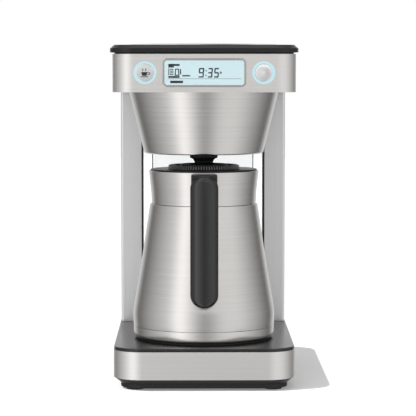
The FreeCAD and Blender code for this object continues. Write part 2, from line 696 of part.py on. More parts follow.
def make_head_chassis():
    """The black moulding inside the head: a floor over the funnel, a ledge for the basket, and walls."""
    chassis = body("head_chassis")
    rim = HEAD_TOP - GAP
    pad(chassis, [head_plan(CHASSIS_IN), (ORIGIN, AXIS_Y, WELL_R + WALL * 2)], HEAD_Z, HEAD_FLOOR)
    pad(chassis, [chassis_plan(ORIGIN), chassis_plan(WALL)], HEAD_FLOOR, rim)
    pad(chassis, [chassis_plan(WALL / 2), (ORIGIN, AXIS_Y, WELL_R)], LEDGE_Z - WALL, LEDGE_Z)
    tubes = [(-RISER_X, RISER_Y, TUBE_R + GAP * 2), (RISER_X, RISER_Y, LOOM_R + GAP * 2)]
    pocket(chassis, tubes, HEAD_Z, LEDGE_Z)


def chassis_plan(inset):
    """The head's plan inside the band, cut off straight behind the display's board."""
    half = WIDTH / 2 - CHASSIS_IN - inset
    rear = FRONT + HEAD_D - CHASSIS_IN - inset
    round_rear = REAR_CORNER - CHASSIS_IN - inset
    front = CHASSIS_FRONT + inset
    round_front = HEAD_CORNER - CHASSIS_IN - inset
    return [
        (-half, front, round_front),
        (half, front, round_front),
        (half, rear, round_rear),
        (-half, rear, round_rear),
    ]


def make_head_rear_cover():
    """The black top of the head behind the lid, with the four ears that carry the lid's pins."""
    cover = body("head_rear_cover")
    half = WIDTH / 2 - CHASSIS_IN - WALL - GAP
    rear = FRONT + HEAD_D - CHASSIS_IN - WALL - GAP
    front = FRONT + LID_D + GAP * 2
    round_rear = REAR_CORNER - CHASSIS_IN - WALL - GAP
    flat = [(-half, front), (half, front), (half, rear, round_rear), (-half, rear, round_rear)]
    pad(cover, [flat], HEAD_TOP - WALL, HEAD_TOP)
    ears = []
    for side in (-1, 1):
        for reach in (-1, 1):
            middle = (HINGE_X + (KNUCKLE_W / 2 + EAR_W / 2 + GAP) * reach) * side
            ears.append(middle - EAR_W / 2)
    for left in ears:
        foot = block(HINGE_Y - EAR_R, HINGE_Y + EAR_R, HEAD_TOP - WALL / 2, HINGE_Z0)
        pad_x(cover, [foot], left, left + EAR_W)
        pad_x(cover, [(HINGE_Y, HINGE_Z0, EAR_R)], left, left + EAR_W)
    doc.recompute()
    bore_x(cover, HINGE_Y, HINGE_Z0, PIN_R)


def bore_x(owner, y, z, radius):
    """Drills right through a body along X."""
    sketch = draw(owner, "YZ_Plane", [(y, z, radius)], ORIGIN)
    hole = owner.newObject("PartDesign::Pocket", owner.Label + "_bore")
    hole.Profile = sketch
    hole.Midplane = True
    bind(hole, "Length", WIDTH * 2)
    return hole


def pad_x(owner, loops, left, right):
    """Adds material between two x places. The loops are (y, z)."""
    return feature(owner, "Pad", draw(owner, "YZ_Plane", loops, left), right - left)


def make_display_bezel():
    """The polished frame round the glass."""
    bezel = body("display_bezel")
    loops = [bezel_outline(BEZEL), bezel_outline(GAP / 3)]
    pad_y(bezel, loops, FRONT - BEZEL_PROUD, FRONT + SKIN * 2)


def make_display_lens():
    """The glass of the display."""
    lens = body("display_lens")
    pad_y(lens, [bezel_outline(ORIGIN)], FRONT, FRONT + LENS_T)


def make_display_panel():
    """The lit panel behind the glass."""
    panel = body("display_panel")
    pad_y(panel, [bezel_outline(BEZEL / 2)], FRONT + SKIN * 2 + GAP, FRONT + SKIN * 2 + PANEL_T)


def make_display_board():
    """The board behind the display, which also carries the two switches."""
    board = body("display_board")
    half = KNOB_X + STEM_R * 3
    rise = GLASS_H / 2 + BEZEL
    flat = block(-half, half, PANEL_CZ - rise, PANEL_CZ + rise)
    holes = both_sides(KNOB_X, PANEL_CZ, STEM_R + GAP)
    pad_y(board, [flat] + holes, BOARD_Y, BOARD_Y + BOARD_T)
    chips = [block(-GLASS_H, -GLASS_H / 2, PANEL_CZ - GLASS_H / 4, PANEL_CZ + GLASS_H / 4)]
    pad_y(board, chips, BOARD_Y + BOARD_T, BOARD_Y + BOARD_T * 2)
    standoffs = both_sides(GLASS_W / 2 - BEZEL, PANEL_CZ, BEZEL)
    pad_y(board, standoffs, FRONT + SKIN * 2 + PANEL_T + GAP, BOARD_Y)


def make_light_ring(label, side):
    """The diffuser ring round a button; its wall reaches back to the board."""
    ring = body(label)
    place = (KNOB_X * side, PANEL_CZ)
    bore = place + (KNOB_R + GAP,)
    pad_y(ring, [place + (RING_R,), bore], FRONT, FRONT + SKIN * 3)
    pad_y(ring, [place + (KNOB_R + GAP + WALL / 2,), bore], FRONT + SKIN * 3, BOARD_Y - GAP / 3)


def make_brew_button():
    """The left button: a flat cap on a stem that passes through the board to its switch."""
    button = body("brew_button")
    place = (-KNOB_X, PANEL_CZ)
    pad_y(button, [place + (KNOB_R,)], FRONT - BUTTON_OUT, BUTTON_BACK)
    pad_y(button, [place + (STEM_R,)], BUTTON_BACK, BOARD_Y + BOARD_T)
    round_edges(button, BUTTON_OUT / 2, at_depth(FRONT - BUTTON_OUT))


def at_depth(depth):
    return lambda middle, edge: abs(middle.y - depth.value) < 0.01


def make_spring(label, x):
    """A return spring round a stem, between the button's back and the board."""
    spring = body(label)
    inner = STEM_R + GAP
    loops = [(x, PANEL_CZ, inner + SPRING_WIRE), (x, PANEL_CZ, inner)]
    pad_y(spring, loops, BUTTON_BACK, BOARD_Y)


def make_dial_shaft():
    """The dial's shaft, which slides through the board when the dial is pressed."""
    shaft = body("dial_shaft")
    place = (KNOB_X, PANEL_CZ)
    pad_y(shaft, [place + (STEM_R,)], KNOB_BACK - KNOB_SOCKET + GAP / 3, BOARD_Y + BOARD_T)
    pad_y(shaft, [place + (STEM_R + SPRING_WIRE + GAP,)], BUTTON_BACK - SKIN, BUTTON_BACK)


def make_dial_knob():
    """The right button: a domed steel dial that turns on its shaft."""
    knob = body("dial_knob")
    profile = [
        (ORIGIN, ORIGIN),
        (KNOB_R, ORIGIN),
        (KNOB_R, KNOB_BODY, KNOB_DOME),
        (ORIGIN, KNOB_BODY + KNOB_DOME),
    ]
    spin(knob, profile)
    put(knob, x=KNOB_X, y=KNOB_BACK, z=PANEL_CZ)
    knob.Placement.Rotation = FreeCAD.Rotation(Vector(1, 0, 0), 90)
    pocket(knob, [(ORIGIN, ORIGIN, STEM_R + RUN)], ORIGIN, KNOB_SOCKET)


# ---------------------------------------------------------------- the funnel and the brew basket


def make_funnel_shell():
    """The brushed steel cone under the head, with its edge rolled in at the bottom."""
    low, top, lip = FUNNEL_LOW, FUNNEL_TOP, FUNNEL_LIP
    profile = [
        (low - lip * 2, FUNNEL_Z),
        (low, FUNNEL_Z, lip),
        (top, HEAD_Z),
        (top - SKIN, HEAD_Z),
        (low - SKIN, FUNNEL_Z + SKIN, lip - SKIN),
        (low - lip * 2, FUNNEL_Z + SKIN),
    ]
    turned("funnel_shell", profile, y=AXIS_Y)


def make_funnel_liner():
    """The black inner cone, whose floor closes the funnel round the basket's outlet."""
    slant = SKIN + GAP * 2
    top, low = FUNNEL_TOP - slant, FUNNEL_LOW - slant - GAP
    hole = OUTLET_R + GAP * 3
    profile = [
        (hole, LINER_FLOOR),
        (low, LINER_FLOOR),
        (top, HEAD_Z),
        (top - WALL, HEAD_Z),
        (low - WALL, LINER_FLOOR + WALL),
        (hole, LINER_FLOOR + WALL),
    ]
    turned("funnel_liner", profile, y=AXIS_Y)


def make_brew_basket():
    """The removable basket: a rim that rests on the ledge, a cone, and the outlet with its spout."""
    mouth = BASKET_R - WALL
    recess = WALL / 2 + STOP_LIFT + GAP * 2
    profile = [
        (DRIP_R, BASKET_FLOOR),
        (DRIP_R, SPOUT_Z + recess),
        (DRIP_R + WALL * 1.5, SPOUT_Z + recess),
        (DRIP_R + WALL * 1.5, SPOUT_Z),
        (SPOUT_R, SPOUT_Z),
        (SPOUT_R, HUB_Z),
        (OUTLET_R, HUB_Z),
        (OUTLET_R, BASKET_FLOOR - WALL),
        (BASKET_LOW, BASKET_FLOOR - WALL),
        (BASKET_R, LEDGE_Z),
        (WELL_R + WALL, LEDGE_Z),
        (WELL_R + WALL, BASKET_RIM),
        (mouth, BASKET_RIM),
        (BASKET_LOW - WALL, BASKET_FLOOR + WALL),
        (DRIP_R + WALL, BASKET_FLOOR + WALL),
    ]
    turned("brew_basket", profile, y=AXIS_Y)


def make_drip_stop_valve():
    """The plunger in the spout: a cap over the drip hole, a stem, and the foot that the carafe lifts."""
    slim = DRIP_R - WALL / 2
    cap = DRIP_R + WALL
    profile = [
        (ORIGIN, SPOUT_Z),
        (cap, SPOUT_Z),
        (cap, SPOUT_Z + WALL / 2),
        (slim, SPOUT_Z + WALL / 2),
        (slim, BASKET_FLOOR + WALL + GAP),
        (cap + WALL, BASKET_FLOOR + WALL + GAP),
        (cap + WALL, BASKET_FLOOR + WALL * 2),
        (ORIGIN, BASKET_FLOOR + WALL * 2),
    ]
    turned("drip_stop_valve", profile, y=AXIS_Y)


# ---------------------------------------------------------------- the lid


def lid_plan(inset):
    """The lid's plan shape, set in from its rim."""
    half = WIDTH / 2 + OVERHANG - inset
    front = FRONT - OVERHANG + inset
    rear = FRONT + LID_D - inset * 0.5
    return [
        (-half, front, HEAD_CORNER + OVERHANG - inset),
        (half, front, HEAD_CORNER + OVERHANG - inset),
        (half, rear),
        (-half, rear),
    ]


def make_lid_shell():
    """The black lid: an inset strip, the rim that overhangs, a step up to the top, and two knuckles."""
    lid = body("lid_shell")
    pad(lid, [lid_plan(OVERHANG + WALL)], LID_LOW, LID_RIM)
    pad(lid, [lid_plan(ORIGIN)], LID_RIM, LID_RIM + LID_EDGE_H)
    step = lid.newObject("PartDesign::AdditiveLoft", "lid_shell_step")
    step.Profile = draw(lid, "XY_Plane", [lid_plan(SKIN / 2)], LID_RIM + LID_EDGE_H)
    step.Sections = [draw(lid, "XY_Plane", [lid_plan(LID_SLOPE)], LID_TOP)]
    pocket(lid, [lid_plan(OVERHANG + WALL * 3)], LID_LOW, LID_TOP - WALL * 2)
    arm_low, arm_high = HINGE_Z0 - EAR_R, HINGE_Z0 + EAR_R
    for side in (-1, 1):
        middle = HINGE_X * side
        left, right = middle - KNUCKLE_W / 2, middle + KNUCKLE_W / 2
        arm = block(FRONT + LID_D - WALL, HINGE_Y, arm_low + WALL, arm_high)
        pad_x(lid, [arm], left, right)
        pad_x(lid, [(HINGE_Y, HINGE_Z0, EAR_R)], left, right)
    bore_x(lid, HINGE_Y, HINGE_Z0, PIN_R + RUN)


def make_lid_plate():
    """The brushed steel plate on the lid: a round-cornered sheet that is crowned like a shallow dome."""
    plate = body("lid_plate")
    half_width = WIDTH / 2 + OVERHANG - LID_SLOPE - PLATE_IN
    half_depth = (LID_D + OVERHANG) / 2 - LID_SLOPE - PLATE_IN
    put(plate, y=PLATE_Y)
    flat = block(-half_width, half_width, -half_depth, half_depth, PLATE_CORNER)
    pad(plate, [flat], LID_TOP, LID_TOP + DOME)
    sky = draw(plate, "XZ_Plane", [])
    dome_above(sky, LID_TOP + DOME, CROWN_ARC, WIDTH)
    groove = feature(plate, "Groove", sky)
    groove.ReferenceAxis = (sky, ["V_Axis"])
    groove.Angle = 360


def dome_above(sketch, crown, radius, reach):
    """The space over a shallow dome: an arc centred on the axis, closed by three straight lines."""
    top, far, round_to = read(crown), read(reach), read(radius)
    edge = top - round_to + math.sqrt(round_to ** 2 - far ** 2)
    halfway = top - round_to + math.sqrt(round_to ** 2 - (far / 2) ** 2)
    above = top + read(DOME)
    arc = sketch.addGeometry(Part.Arc(Vector(0, top, 0), Vector(far / 2, halfway, 0), Vector(far, edge, 0)))
    corners = [Vector(far, edge, 0), Vector(far, above, 0), Vector(0, above, 0), Vector(0, top, 0)]
    lines = [sketch.addGeometry(Part.LineSegment(a, b)) for a, b in zip(corners, corners[1:])]
    joined = [(arc, 1, lines[0], 1), (lines[2], 2, arc, 2)]
    joined += [(before, 2, after, 1) for before, after in zip(lines, lines[1:])]
    for place in joined:
        sketch.addConstraint(Sketcher.Constraint("Coincident", *place))
    bound = [
        (Sketcher.Constraint("Radius", arc, round_to), radius),
        (Sketcher.Constraint("DistanceX", -1, 1, arc, 3, 0), ORIGIN),
        (Sketcher.Constraint("DistanceY", -1, 1, arc, 3, top - round_to), crown - radius),
        (Sketcher.Constraint("DistanceX", -1, 1, arc, 2, 0), ORIGIN),
        (Sketcher.Constraint("DistanceX", -1, 1, lines[0], 2, far), reach),
        (Sketcher.Constraint("DistanceY", -1, 1, lines[1], 1, above), crown + DOME),
        (Sketcher.Constraint("DistanceX", -1, 1, lines[1], 2, 0), ORIGIN),
        (Sketcher.Constraint("DistanceX", -1, 1, arc, 1, far), reach),
        (Sketcher.Constraint("DistanceY", -1, 1, lines[1], 2, above), crown + DOME),
    ]
    for constraint, length in bound:
        row = sketch.addConstraint(constraint)
        bind(sketch, "Constraints[%d]" % row, length)


def make_shower_head():
    """The water spreader on the underside of the lid, with rings of holes."""
    shower = body("shower_head")
    underside = LID_TOP - WALL * 2
    place = (ORIGIN, AXIS_Y)
    pad(shower, [place + (SHOWER_R,), place + (SHOWER_R - WALL,)], underside - SHOWER_H, underside)
    pad(shower, [place + (SHOWER_R - WALL / 2,)], underside - SHOWER_H, underside - SHOWER_H + WALL)
    inlet = (ORIGIN, AXIS_Y, SHOWER_R / 4)
    pad(shower, [inlet], underside - SHOWER_H + WALL, underside)
    holes = []
    for ring, count in ((0.4, 6), (0.6, 10), (0.8, 14)):
        for number in range(count):
            angle = 2 * math.pi * number / count
            along = SHOWER_R * (ring * math.cos(angle))
            back = AXIS_Y + SHOWER_R * (ring * math.sin(angle))
            holes.append((along, back, SHOWER_HOLE_R))
    pocket(shower, holes, underside - SHOWER_H, underside - SHOWER_H + WALL)


def make_lid_hinge_pins():
    """One steel pin through each pair of ears."""
    pins = body("lid_hinge_pins")
    reach = KNUCKLE_W / 2 + GAP + EAR_W
    for side in (-1, 1):
        middle = HINGE_X * side
        pad_x(pins, [(HINGE_Y, HINGE_Z0, PIN_R)], middle - reach, middle + reach)


# ---------------------------------------------------------------- the water tank


def tank_plan(inset):
    half = TANK_W / 2 - inset
    return block(-half, half, TANK_Y + inset, TANK_Y + TANK_D - inset, TANK_CORNER - inset)


def make_tank_body():
    """The clear tank: an open box with a valve hole in its floor and hinge ears behind its rim."""
    tank = body("tank_body")
    pad(tank, [tank_plan(ORIGIN)], DECK_Z, TANK_TOP)
    pocket(tank, [tank_plan(TANK_WALL)], DECK_Z + TANK_WALL, TANK_TOP)
    pocket(tank, [(ORIGIN, VALVE_Y, VALVE_R)], DECK_Z, DECK_Z + TANK_WALL)
    rear = TANK_Y + TANK_D
    for side in (-1, 1):
        for reach in (-1, 1):
            middle = (TANK_HINGE_X + (KNUCKLE_W / 2 + EAR_W / 2 + GAP) * reach) * side
            ear = block(rear - TANK_WALL / 2, TANK_HINGE_Y, TANK_HINGE_Z - TANK_HINGE_R * 3, TANK_HINGE_Z)
            pad_x(tank, [ear], middle - EAR_W / 2, middle + EAR_W / 2)
            barrel = (TANK_HINGE_Y, TANK_HINGE_Z, TANK_HINGE_R)
            pad_x(tank, [barrel], middle - EAR_W / 2, middle + EAR_W / 2)
    bore_x(tank, TANK_HINGE_Y, TANK_HINGE_Z, TANK_PIN_R)


def make_tank_cover():
    """The tank's cover, hinged at the rear, with a finger tab at the front."""
    cover = body("tank_cover")
    low = TANK_TOP + GAP
    pad(cover, [tank_plan(ORIGIN)], low, low + TANK_LID_T)
    pad(cover, [tank_plan(TANK_WALL + GAP), tank_plan(TANK_WALL * 2 + GAP)], TANK_TOP - TANK_LID_T, low)
    for side in (-1, 1):
        middle = TANK_HINGE_X * side
        left, right = middle - KNUCKLE_W / 2, middle + KNUCKLE_W / 2
        arm = block(TANK_Y + TANK_D - TANK_CORNER, TANK_HINGE_Y, low, low + TANK_LID_T)
        pad_x(cover, [arm], left, right)
        pad_x(cover, [(TANK_HINGE_Y, TANK_HINGE_Z, TANK_HINGE_R)], left, right)
    bore_x(cover, TANK_HINGE_Y, TANK_HINGE_Z, TANK_PIN_R + RUN)


def make_tank_hinge_pins():
    """One pin through each pair of the tank's ears."""
    pins = body("tank_hinge_pins")
    reach = KNUCKLE_W / 2 + GAP + EAR_W
    for side in (-1, 1):
        middle = TANK_HINGE_X * side
        pad_x(pins, [(TANK_HINGE_Y, TANK_HINGE_Z, TANK_PIN_R)], middle - reach, middle + reach)


def make_tank_valve():
    """The tank's foot valve: a disc over the hole and a stem that the seat's pin lifts."""
    disc = VALVE_R + WALL
    floor = DECK_Z + TANK_WALL
    profile = [
        (ORIGIN, DECK_Z - WALL / 2),
        (VALVE_R - GAP * 2, DECK_Z - WALL / 2),
        (VALVE_R - GAP * 2, floor + GAP / 3),
        (disc, floor + GAP / 3),
        (disc, floor + WALL),
        (ORIGIN, floor + WALL),
    ]
    turned("tank_valve", profile, y=VALVE_Y)


def make_valve_seat():
    """The socket in the deck under the tank: a cup with the pin that opens the valve, and a tail pipe."""
    profile = [
        (TUBE_R - TUBE_WALL, SEAT_TAIL),
        (TUBE_R, SEAT_TAIL),
        (TUBE_R, SEAT_Z),
        (SEAT_R, SEAT_Z),
        (SEAT_R, DECK_Z - GAP),
        (SEAT_R - WALL, DECK_Z - GAP),
        (SEAT_R - WALL, SEAT_Z + WALL),
        (TUBE_R - TUBE_WALL, SEAT_Z + WALL),
    ]
    turned("tank_valve_seat", profile, y=VALVE_Y)


# ---------------------------------------------------------------- the carafe


def side_profile(inset, low, high):
    """The carafe's side from low to high, set in from the outside."""
    return [
        (CAN_R - STEEL / 2 - inset, low),
        (CAN_R + STEEL / 2 - inset, BELLY_Z, CAN_R * 0.8),
        (SHOULDER_R - inset, SHOULDER_Z, CAN_R * 4),
        (UPPER_R - inset, high),
    ]


def can(label, profile):
    """A part of the carafe, turned about its axis."""
    return turned(label, profile, y=AXIS_Y)


def make_carafe_body():
    """The outer steel wall, from the base ring up to the collar, with its top edge turned in."""
    outside = side_profile(ORIGIN, RING_Z, SEAM_Z)
    inside = side_profile(STEEL, RING_Z, SEAM_Z - STEEL)
    lip = NECK_R - STEEL * 1.5
    can("carafe_body", outside + [(lip, SEAM_Z), (lip, SEAM_Z - STEEL)] + inside[::-1])


def make_carafe_base_ring():
    """The steel pan that closes the carafe underneath."""
    outer = CAN_R - STEEL / 2
    seam = RING_Z - GAP / 3
    profile = [
        (ORIGIN, FOOT_TOP),
        (outer, FOOT_TOP, STEEL * 3),
        (outer, seam),
        (outer - STEEL, seam),
        (outer - STEEL, FOOT_TOP + STEEL, STEEL * 2),
        (ORIGIN, FOOT_TOP + STEEL),
    ]
    can("carafe_base_ring", profile)


def make_carafe_foot():
    """The soft black ring that the carafe stands on."""
    outer = CAN_R - STEEL * 4
    profile = [(outer * 0.6, DECK_Z), (outer, DECK_Z), (outer, FOOT_TOP), (outer * 0.6, FOOT_TOP)]
    can("carafe_foot", profile)


def make_carafe_liner():
    """The inner steel vessel, which hangs from the mouth with a vacuum round it."""
    inset = STEEL + VACUUM
    thick = inset + STEEL
    floor = FLOOR_Z + VACUUM
    neck = SEAM_Z - STEEL * 3
    mouth = RIM_Z - STEEL * 1.5
    profile = [
        (ORIGIN, floor),
        (CAN_R - inset, floor, LINER_EDGE),
        (CAN_R - inset, BELLY_Z, CAN_R * 0.8),
        (SHOULDER_R - inset, SHOULDER_Z, CAN_R * 4),
        (MOUTH_R + STEEL, neck),
        (MOUTH_R + STEEL, mouth),
        (MOUTH_R, mouth),
        (MOUTH_R, neck),
        (SHOULDER_R - thick, SHOULDER_Z, CAN_R * 4),
        (CAN_R - thick, BELLY_Z, CAN_R * 0.8),
        (CAN_R - thick, floor + STEEL, LINER_EDGE - STEEL),
        (ORIGIN, floor + STEEL),
    ]
    can("carafe_liner", profile)


def collar_side(grow):
    """The collar's outside, from the seam to the rim."""
    return [(NECK_R - STEEL / 2 + grow, SEAM_Z + GAP / 3), (NECK_R + grow, SEAM_Z + BRACKET_H, CAN_R),
            (RIM_R + grow, RIM_Z)]


def make_carafe_collar():
    """The steel collar: it flares to the rim and turns in to meet the liner."""
    outside = collar_side(ORIGIN)
    inside = collar_side(-STEEL)
    lip = RIM_Z - STEEL * 1.5
    profile = outside + [(MOUTH_R, RIM_Z), (MOUTH_R, lip), (RIM_R - STEEL * 1.2, lip)] + inside[:2][::-1]
    can("carafe_collar", profile)


def make_carafe_lid():
    """The screw lid: a plug, a rim over the collar, a ring to turn it by, and a dish with the inlet."""
    plug = MOUTH_R - SEAL_T
    over = RIM_Z + GAP
    top = RIM_Z + KNURL_H
    hole = SPOUT_R / 2
    low = RIM_Z - PLUG_H
    slot = low + SEAL_T * 1.5
    profile = [
        (hole, low),
        (plug, low),
        (plug, slot),
        (plug - SEAL_T / 2, slot),
        (plug - SEAL_T / 2, slot + SEAL_T),
        (plug, slot + SEAL_T),
        (plug, over),
        (RIM_R - STEEL * 2, over),
        (RIM_R - STEEL * 2, over + WALL * 0.6),
        (KNURL_R, over + WALL * 0.6),
        (KNURL_R - STEEL * 2, top),
        (KNURL_R - WALL * 2, top),
        (KNURL_R - WALL * 2, over + WALL * 0.6),
        (DISH_R, over + WALL * 0.6),
        (DISH_R, top + STEEL),
        (DISH_R - WALL, top + STEEL),
        (SPOUT_R, over),
        (hole, over),
    ]
    can("carafe_lid", profile)


def make_carafe_lid_seal():
    """The silicone ring in the plug's groove."""
    plug = MOUTH_R - SEAL_T
    slot = RIM_Z - PLUG_H + SEAL_T * 1.5
    inner, outer = plug - SEAL_T / 2 + GAP / 3, MOUTH_R - GAP
    low, high = slot + GAP / 3, slot + SEAL_T - GAP / 3
    profile = [(inner, low), (outer, low), (outer, high), (inner, high)]
    can("carafe_lid_seal", profile)


def make_carafe_handle():
    """The black grip: a flat bar with round ends that hangs down in front of the carafe."""
    grip = body("carafe_handle")
    half = GRIP_W / 2
    top = RIM_Z - STEEL * 2
    near = FRONT + GRIP_F
    bar = block(-half, half, DECK_Z + GRIP_LOW, top, half * ALMOST)
    pad_y(grip, [bar], near, near + GRIP_T)
    long_enough = half.value / 2
    round_edges(grip, GRIP_EDGE, lambda middle, edge: on_face(edge) and edge.Length > long_enough)


def on_face(edge):
    """Whether an edge lies in a face that looks to the front or the back."""
    ends = [edge.valueAt(edge.FirstParameter).y, edge.valueAt(edge.LastParameter).y]
    return abs(ends[0] - ends[1]) < 0.01


def make_carafe_handle_bracket():
    """The arm from the collar to the handle's top, hollowed to fit the flared collar."""
    bracket = body("carafe_handle_bracket")
    half = GRIP_W / 2 - STEEL
    top = RIM_Z - STEEL * 2
    near = FRONT + GRIP_F + GRIP_T - AXIS_Y
    put(bracket, y=AXIS_Y)
    pad(bracket, [block(-half, half, near, -NECK_R * 0.9)], top - BRACKET_H, top)
    collar = [
        (ORIGIN, SEAM_Z),
        (NECK_R - STEEL / 2 + GAP / 3, SEAM_Z),
    ] + collar_side(GAP / 3)[1:] + [(ORIGIN, RIM_Z)]
    spin(bracket, collar, "Groove")


# ---------------------------------------------------------------- the water's way


def tube(label, route, outer, inner):
    """A tube along straight runs joined by bends of one radius."""
    spots = [Vector(*[read(step) for step in spot]) for spot in route]
    bend = read(TUBE_BEND)
    edges = []
    start = spots[0]
    for before, here, after in zip(spots, spots[1:], spots[2:]):
        first, last, middle = corner_arc(before, here, after, bend)
        edges.append(Part.makeLine(start, first))
        edges.append(Part.Arc(first, middle, last).toShape())
        start = last
    edges.append(Part.makeLine(start, spots[-1]))
    path = Part.Wire(edges)
    heading = (spots[1] - spots[0]).normalize()

    def swept(radius):
        section = Part.Wire(Part.makeCircle(read(radius), spots[0], heading))
        return path.makePipeShell([section], True, True)

    new = doc.addObject("Part::Feature", label)
    new.Label = label
    new.Shape = swept(outer).cut(swept(inner)) if inner is not None else swept(outer)
    made.append(new)
    return new


def make_cold_hose():
    """The hose from the tank's socket down and forward to the pump."""
    low = PUMP_Z
    route = [
        (0, VALVE_Y, SEAT_TAIL),
        (0, VALVE_Y, low),
        (-PUMP_X, VALVE_Y, low),
        (-PUMP_X, PUMP_Y + PUMP_L, low),
    ]
    tube("cold_hose", route, TUBE_R, TUBE_R - TUBE_WALL)


def make_pump_tube():
    """The short tube from the pump's head to the heater."""
    link = body("pump_tube")
    place = (-PUMP_X, PUMP_Z)
    loops = [place + (TUBE_R,), place + (TUBE_R - TUBE_WALL,)]
    pad_y(link, loops, FRONT + HEATER_F + HEATER_R * 2, PUMP_Y - PUMP_L / 3)


def make_hot_riser():
    """The tube from the heater, up inside the left post, to the outlet over the brew basket."""
    level = PAN_FLOOR + WALL + HEATER_R
    top = HEAD_TOP - WALL * 3 - TUBE_R
    route = [
        (-HEATER_X, HEATER_END, level),
        (-RISER_X, HEATER_END, level),
        (-RISER_X, RISER_Y, level),
        (-RISER_X, RISER_Y, top),
        (-RISER_X, OUTLET_Y, top),
        (-OUTLET_X, OUTLET_Y, top),
    ]
    tube("hot_riser_tube", route, TUBE_R, TUBE_R - TUBE_WALL)


def make_wire_loom():
    """The wires from the base to the head, bundled in the right post."""
    low, high = BAND_Z + BAND_H / 2, HEAD_FLOOR + WALL * 3
    loom = body("wire_loom")
    pad(loom, [(RISER_X, RISER_Y, LOOM_R)], low, high)


def make_water_outlet():
    """The fixed nozzle that takes the riser's water in over the edge of the brew basket."""
    outlet = body("water_outlet")
    top = HEAD_TOP - WALL * 3 - TUBE_R
    socket, bore = TUBE_R + WALL / 2, TUBE_R - TUBE_WALL
    pad_x(outlet, [(OUTLET_Y, top, socket), (OUTLET_Y, top, bore)], -OUTLET_X, -OUTLET_X + OUTLET_L)
    legs = block(-OUTLET_X, -OUTLET_X + WALL, OUTLET_Y - socket, OUTLET_Y + socket)
    pad(outlet, [legs], LEDGE_Z, top - bore)


# ---------------------------------------------------------------- the assembly
def build_base():
    for make in (make_rubber_feet, make_base_pan, make_base_band, make_base_deck, make_base_screws,
                 make_cord_gland, make_pump, make_heater_block, make_thermostat, make_control_board):
        make()


def build_posts():
    for name, side in (("column_left", -1), ("column_right", 1)):
        make_column(name, side)
        make_column_trim(name, side)
    make_column_screws()


def build_head():
    for make in (make_head_band, make_head_chassis, make_head_rear_cover, make_display_bezel,
                 make_display_lens, make_display_panel, make_display_board, make_brew_button,
                 make_dial_shaft, make_dial_knob):
        make()
    for name, side in (("brew", -1), ("dial", 1)):
        make_light_ring(name + "_light_ring", side)
    make_spring("brew_button_spring", -KNOB_X)
    make_spring("dial_spring", KNOB_X)


def build_brewing():
    for make in (make_funnel_shell, make_funnel_liner, make_brew_basket, make_drip_stop_valve,
                 make_lid_shell, make_lid_plate, make_shower_head, make_lid_hinge_pins):
        make()


def build_tank():
    for make in (make_tank_body, make_tank_cover, make_tank_hinge_pins, make_tank_valve, make_valve_seat):
        make()


def build_carafe():
    for make in (make_carafe_body, make_carafe_base_ring, make_carafe_foot, make_carafe_liner,
                 make_carafe_collar, make_carafe_lid, make_carafe_lid_seal, make_carafe_handle,
                 make_carafe_handle_bracket):
        make()


def build_water_way():
    for make in (make_cold_hose, make_pump_tube, make_hot_riser, make_wire_loom, make_water_outlet):
        make()


for build in (build_base, build_posts, build_head, build_brewing, build_tank, build_carafe, build_water_way):
    build()


# ---------------------------------------------------------------- checks and files
def check(objects):
    """Stops on anything that failed to build."""
    doc.recompute()
    for obj in doc.Objects:
        if "Invalid" in obj.State or "Error" in obj.State:
            raise RuntimeError("%s failed: %s" % (obj.Label, obj.State))
    for obj in objects:
        if obj.Shape.isNull() or not obj.Shape.isValid() or obj.Shape.Volume <= 0:
            raise RuntimeError("%s has no sound shape" % obj.Label)


check(made)
os.makedirs("parts", exist_ok=True)
for part in made:
    part.Shape.exportStep("parts/%s.step" % part.Label)
    print("%-24s %2d solids %10.0f mm3" % (part.Label, len(part.Shape.Solids), part.Shape.Volume))
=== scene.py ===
# %% [markdown]
# # A drip coffee maker
# The engineering model gives the frame: every node of it already has its real size and place. This notebook
# dresses that frame. Parts whose shape is already right keep it and get rounded edges and a finish. Parts
# that catch the eye, such as the funnel, the carafe and the display, are modelled again as clean meshes.

# %% Load the frame
import json
import math

import bmesh
import bpy
from mathutils import Matrix, Vector

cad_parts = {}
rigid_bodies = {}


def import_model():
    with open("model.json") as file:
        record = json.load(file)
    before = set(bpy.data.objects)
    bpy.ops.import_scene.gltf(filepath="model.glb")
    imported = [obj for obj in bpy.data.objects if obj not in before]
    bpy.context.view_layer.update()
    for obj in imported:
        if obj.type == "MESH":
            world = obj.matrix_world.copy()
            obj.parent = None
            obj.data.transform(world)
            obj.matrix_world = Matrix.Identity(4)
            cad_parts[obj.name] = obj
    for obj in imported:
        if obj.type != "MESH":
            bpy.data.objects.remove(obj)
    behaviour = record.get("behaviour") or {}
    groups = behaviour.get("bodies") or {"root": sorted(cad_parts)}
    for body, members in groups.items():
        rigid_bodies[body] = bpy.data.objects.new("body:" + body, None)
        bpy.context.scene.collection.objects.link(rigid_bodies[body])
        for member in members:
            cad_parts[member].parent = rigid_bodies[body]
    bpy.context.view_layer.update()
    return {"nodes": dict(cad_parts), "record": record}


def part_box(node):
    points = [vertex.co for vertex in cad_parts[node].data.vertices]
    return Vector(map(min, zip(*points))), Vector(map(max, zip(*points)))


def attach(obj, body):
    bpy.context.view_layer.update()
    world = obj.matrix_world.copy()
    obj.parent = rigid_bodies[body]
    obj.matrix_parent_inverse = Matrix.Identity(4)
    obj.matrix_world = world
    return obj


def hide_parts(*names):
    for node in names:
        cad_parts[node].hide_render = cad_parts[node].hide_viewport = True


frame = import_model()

# %% [markdown]
# ## Colour
# A product picture has a pure white background. The plain Standard view transform shows a bright floor as
# white and leaves the colours of the steel as they are lit.

# %% Colour management
scene = bpy.context.scene
scene.view_settings.view_transform = "Standard"
scene.view_settings.look = "None"
print("view transform:", scene.view_settings.view_transform)

# %% [markdown]
# ## Sizes from the frame
# Every place comes from the frame's own nodes. The carafe, the funnel and the basket share one upright axis.

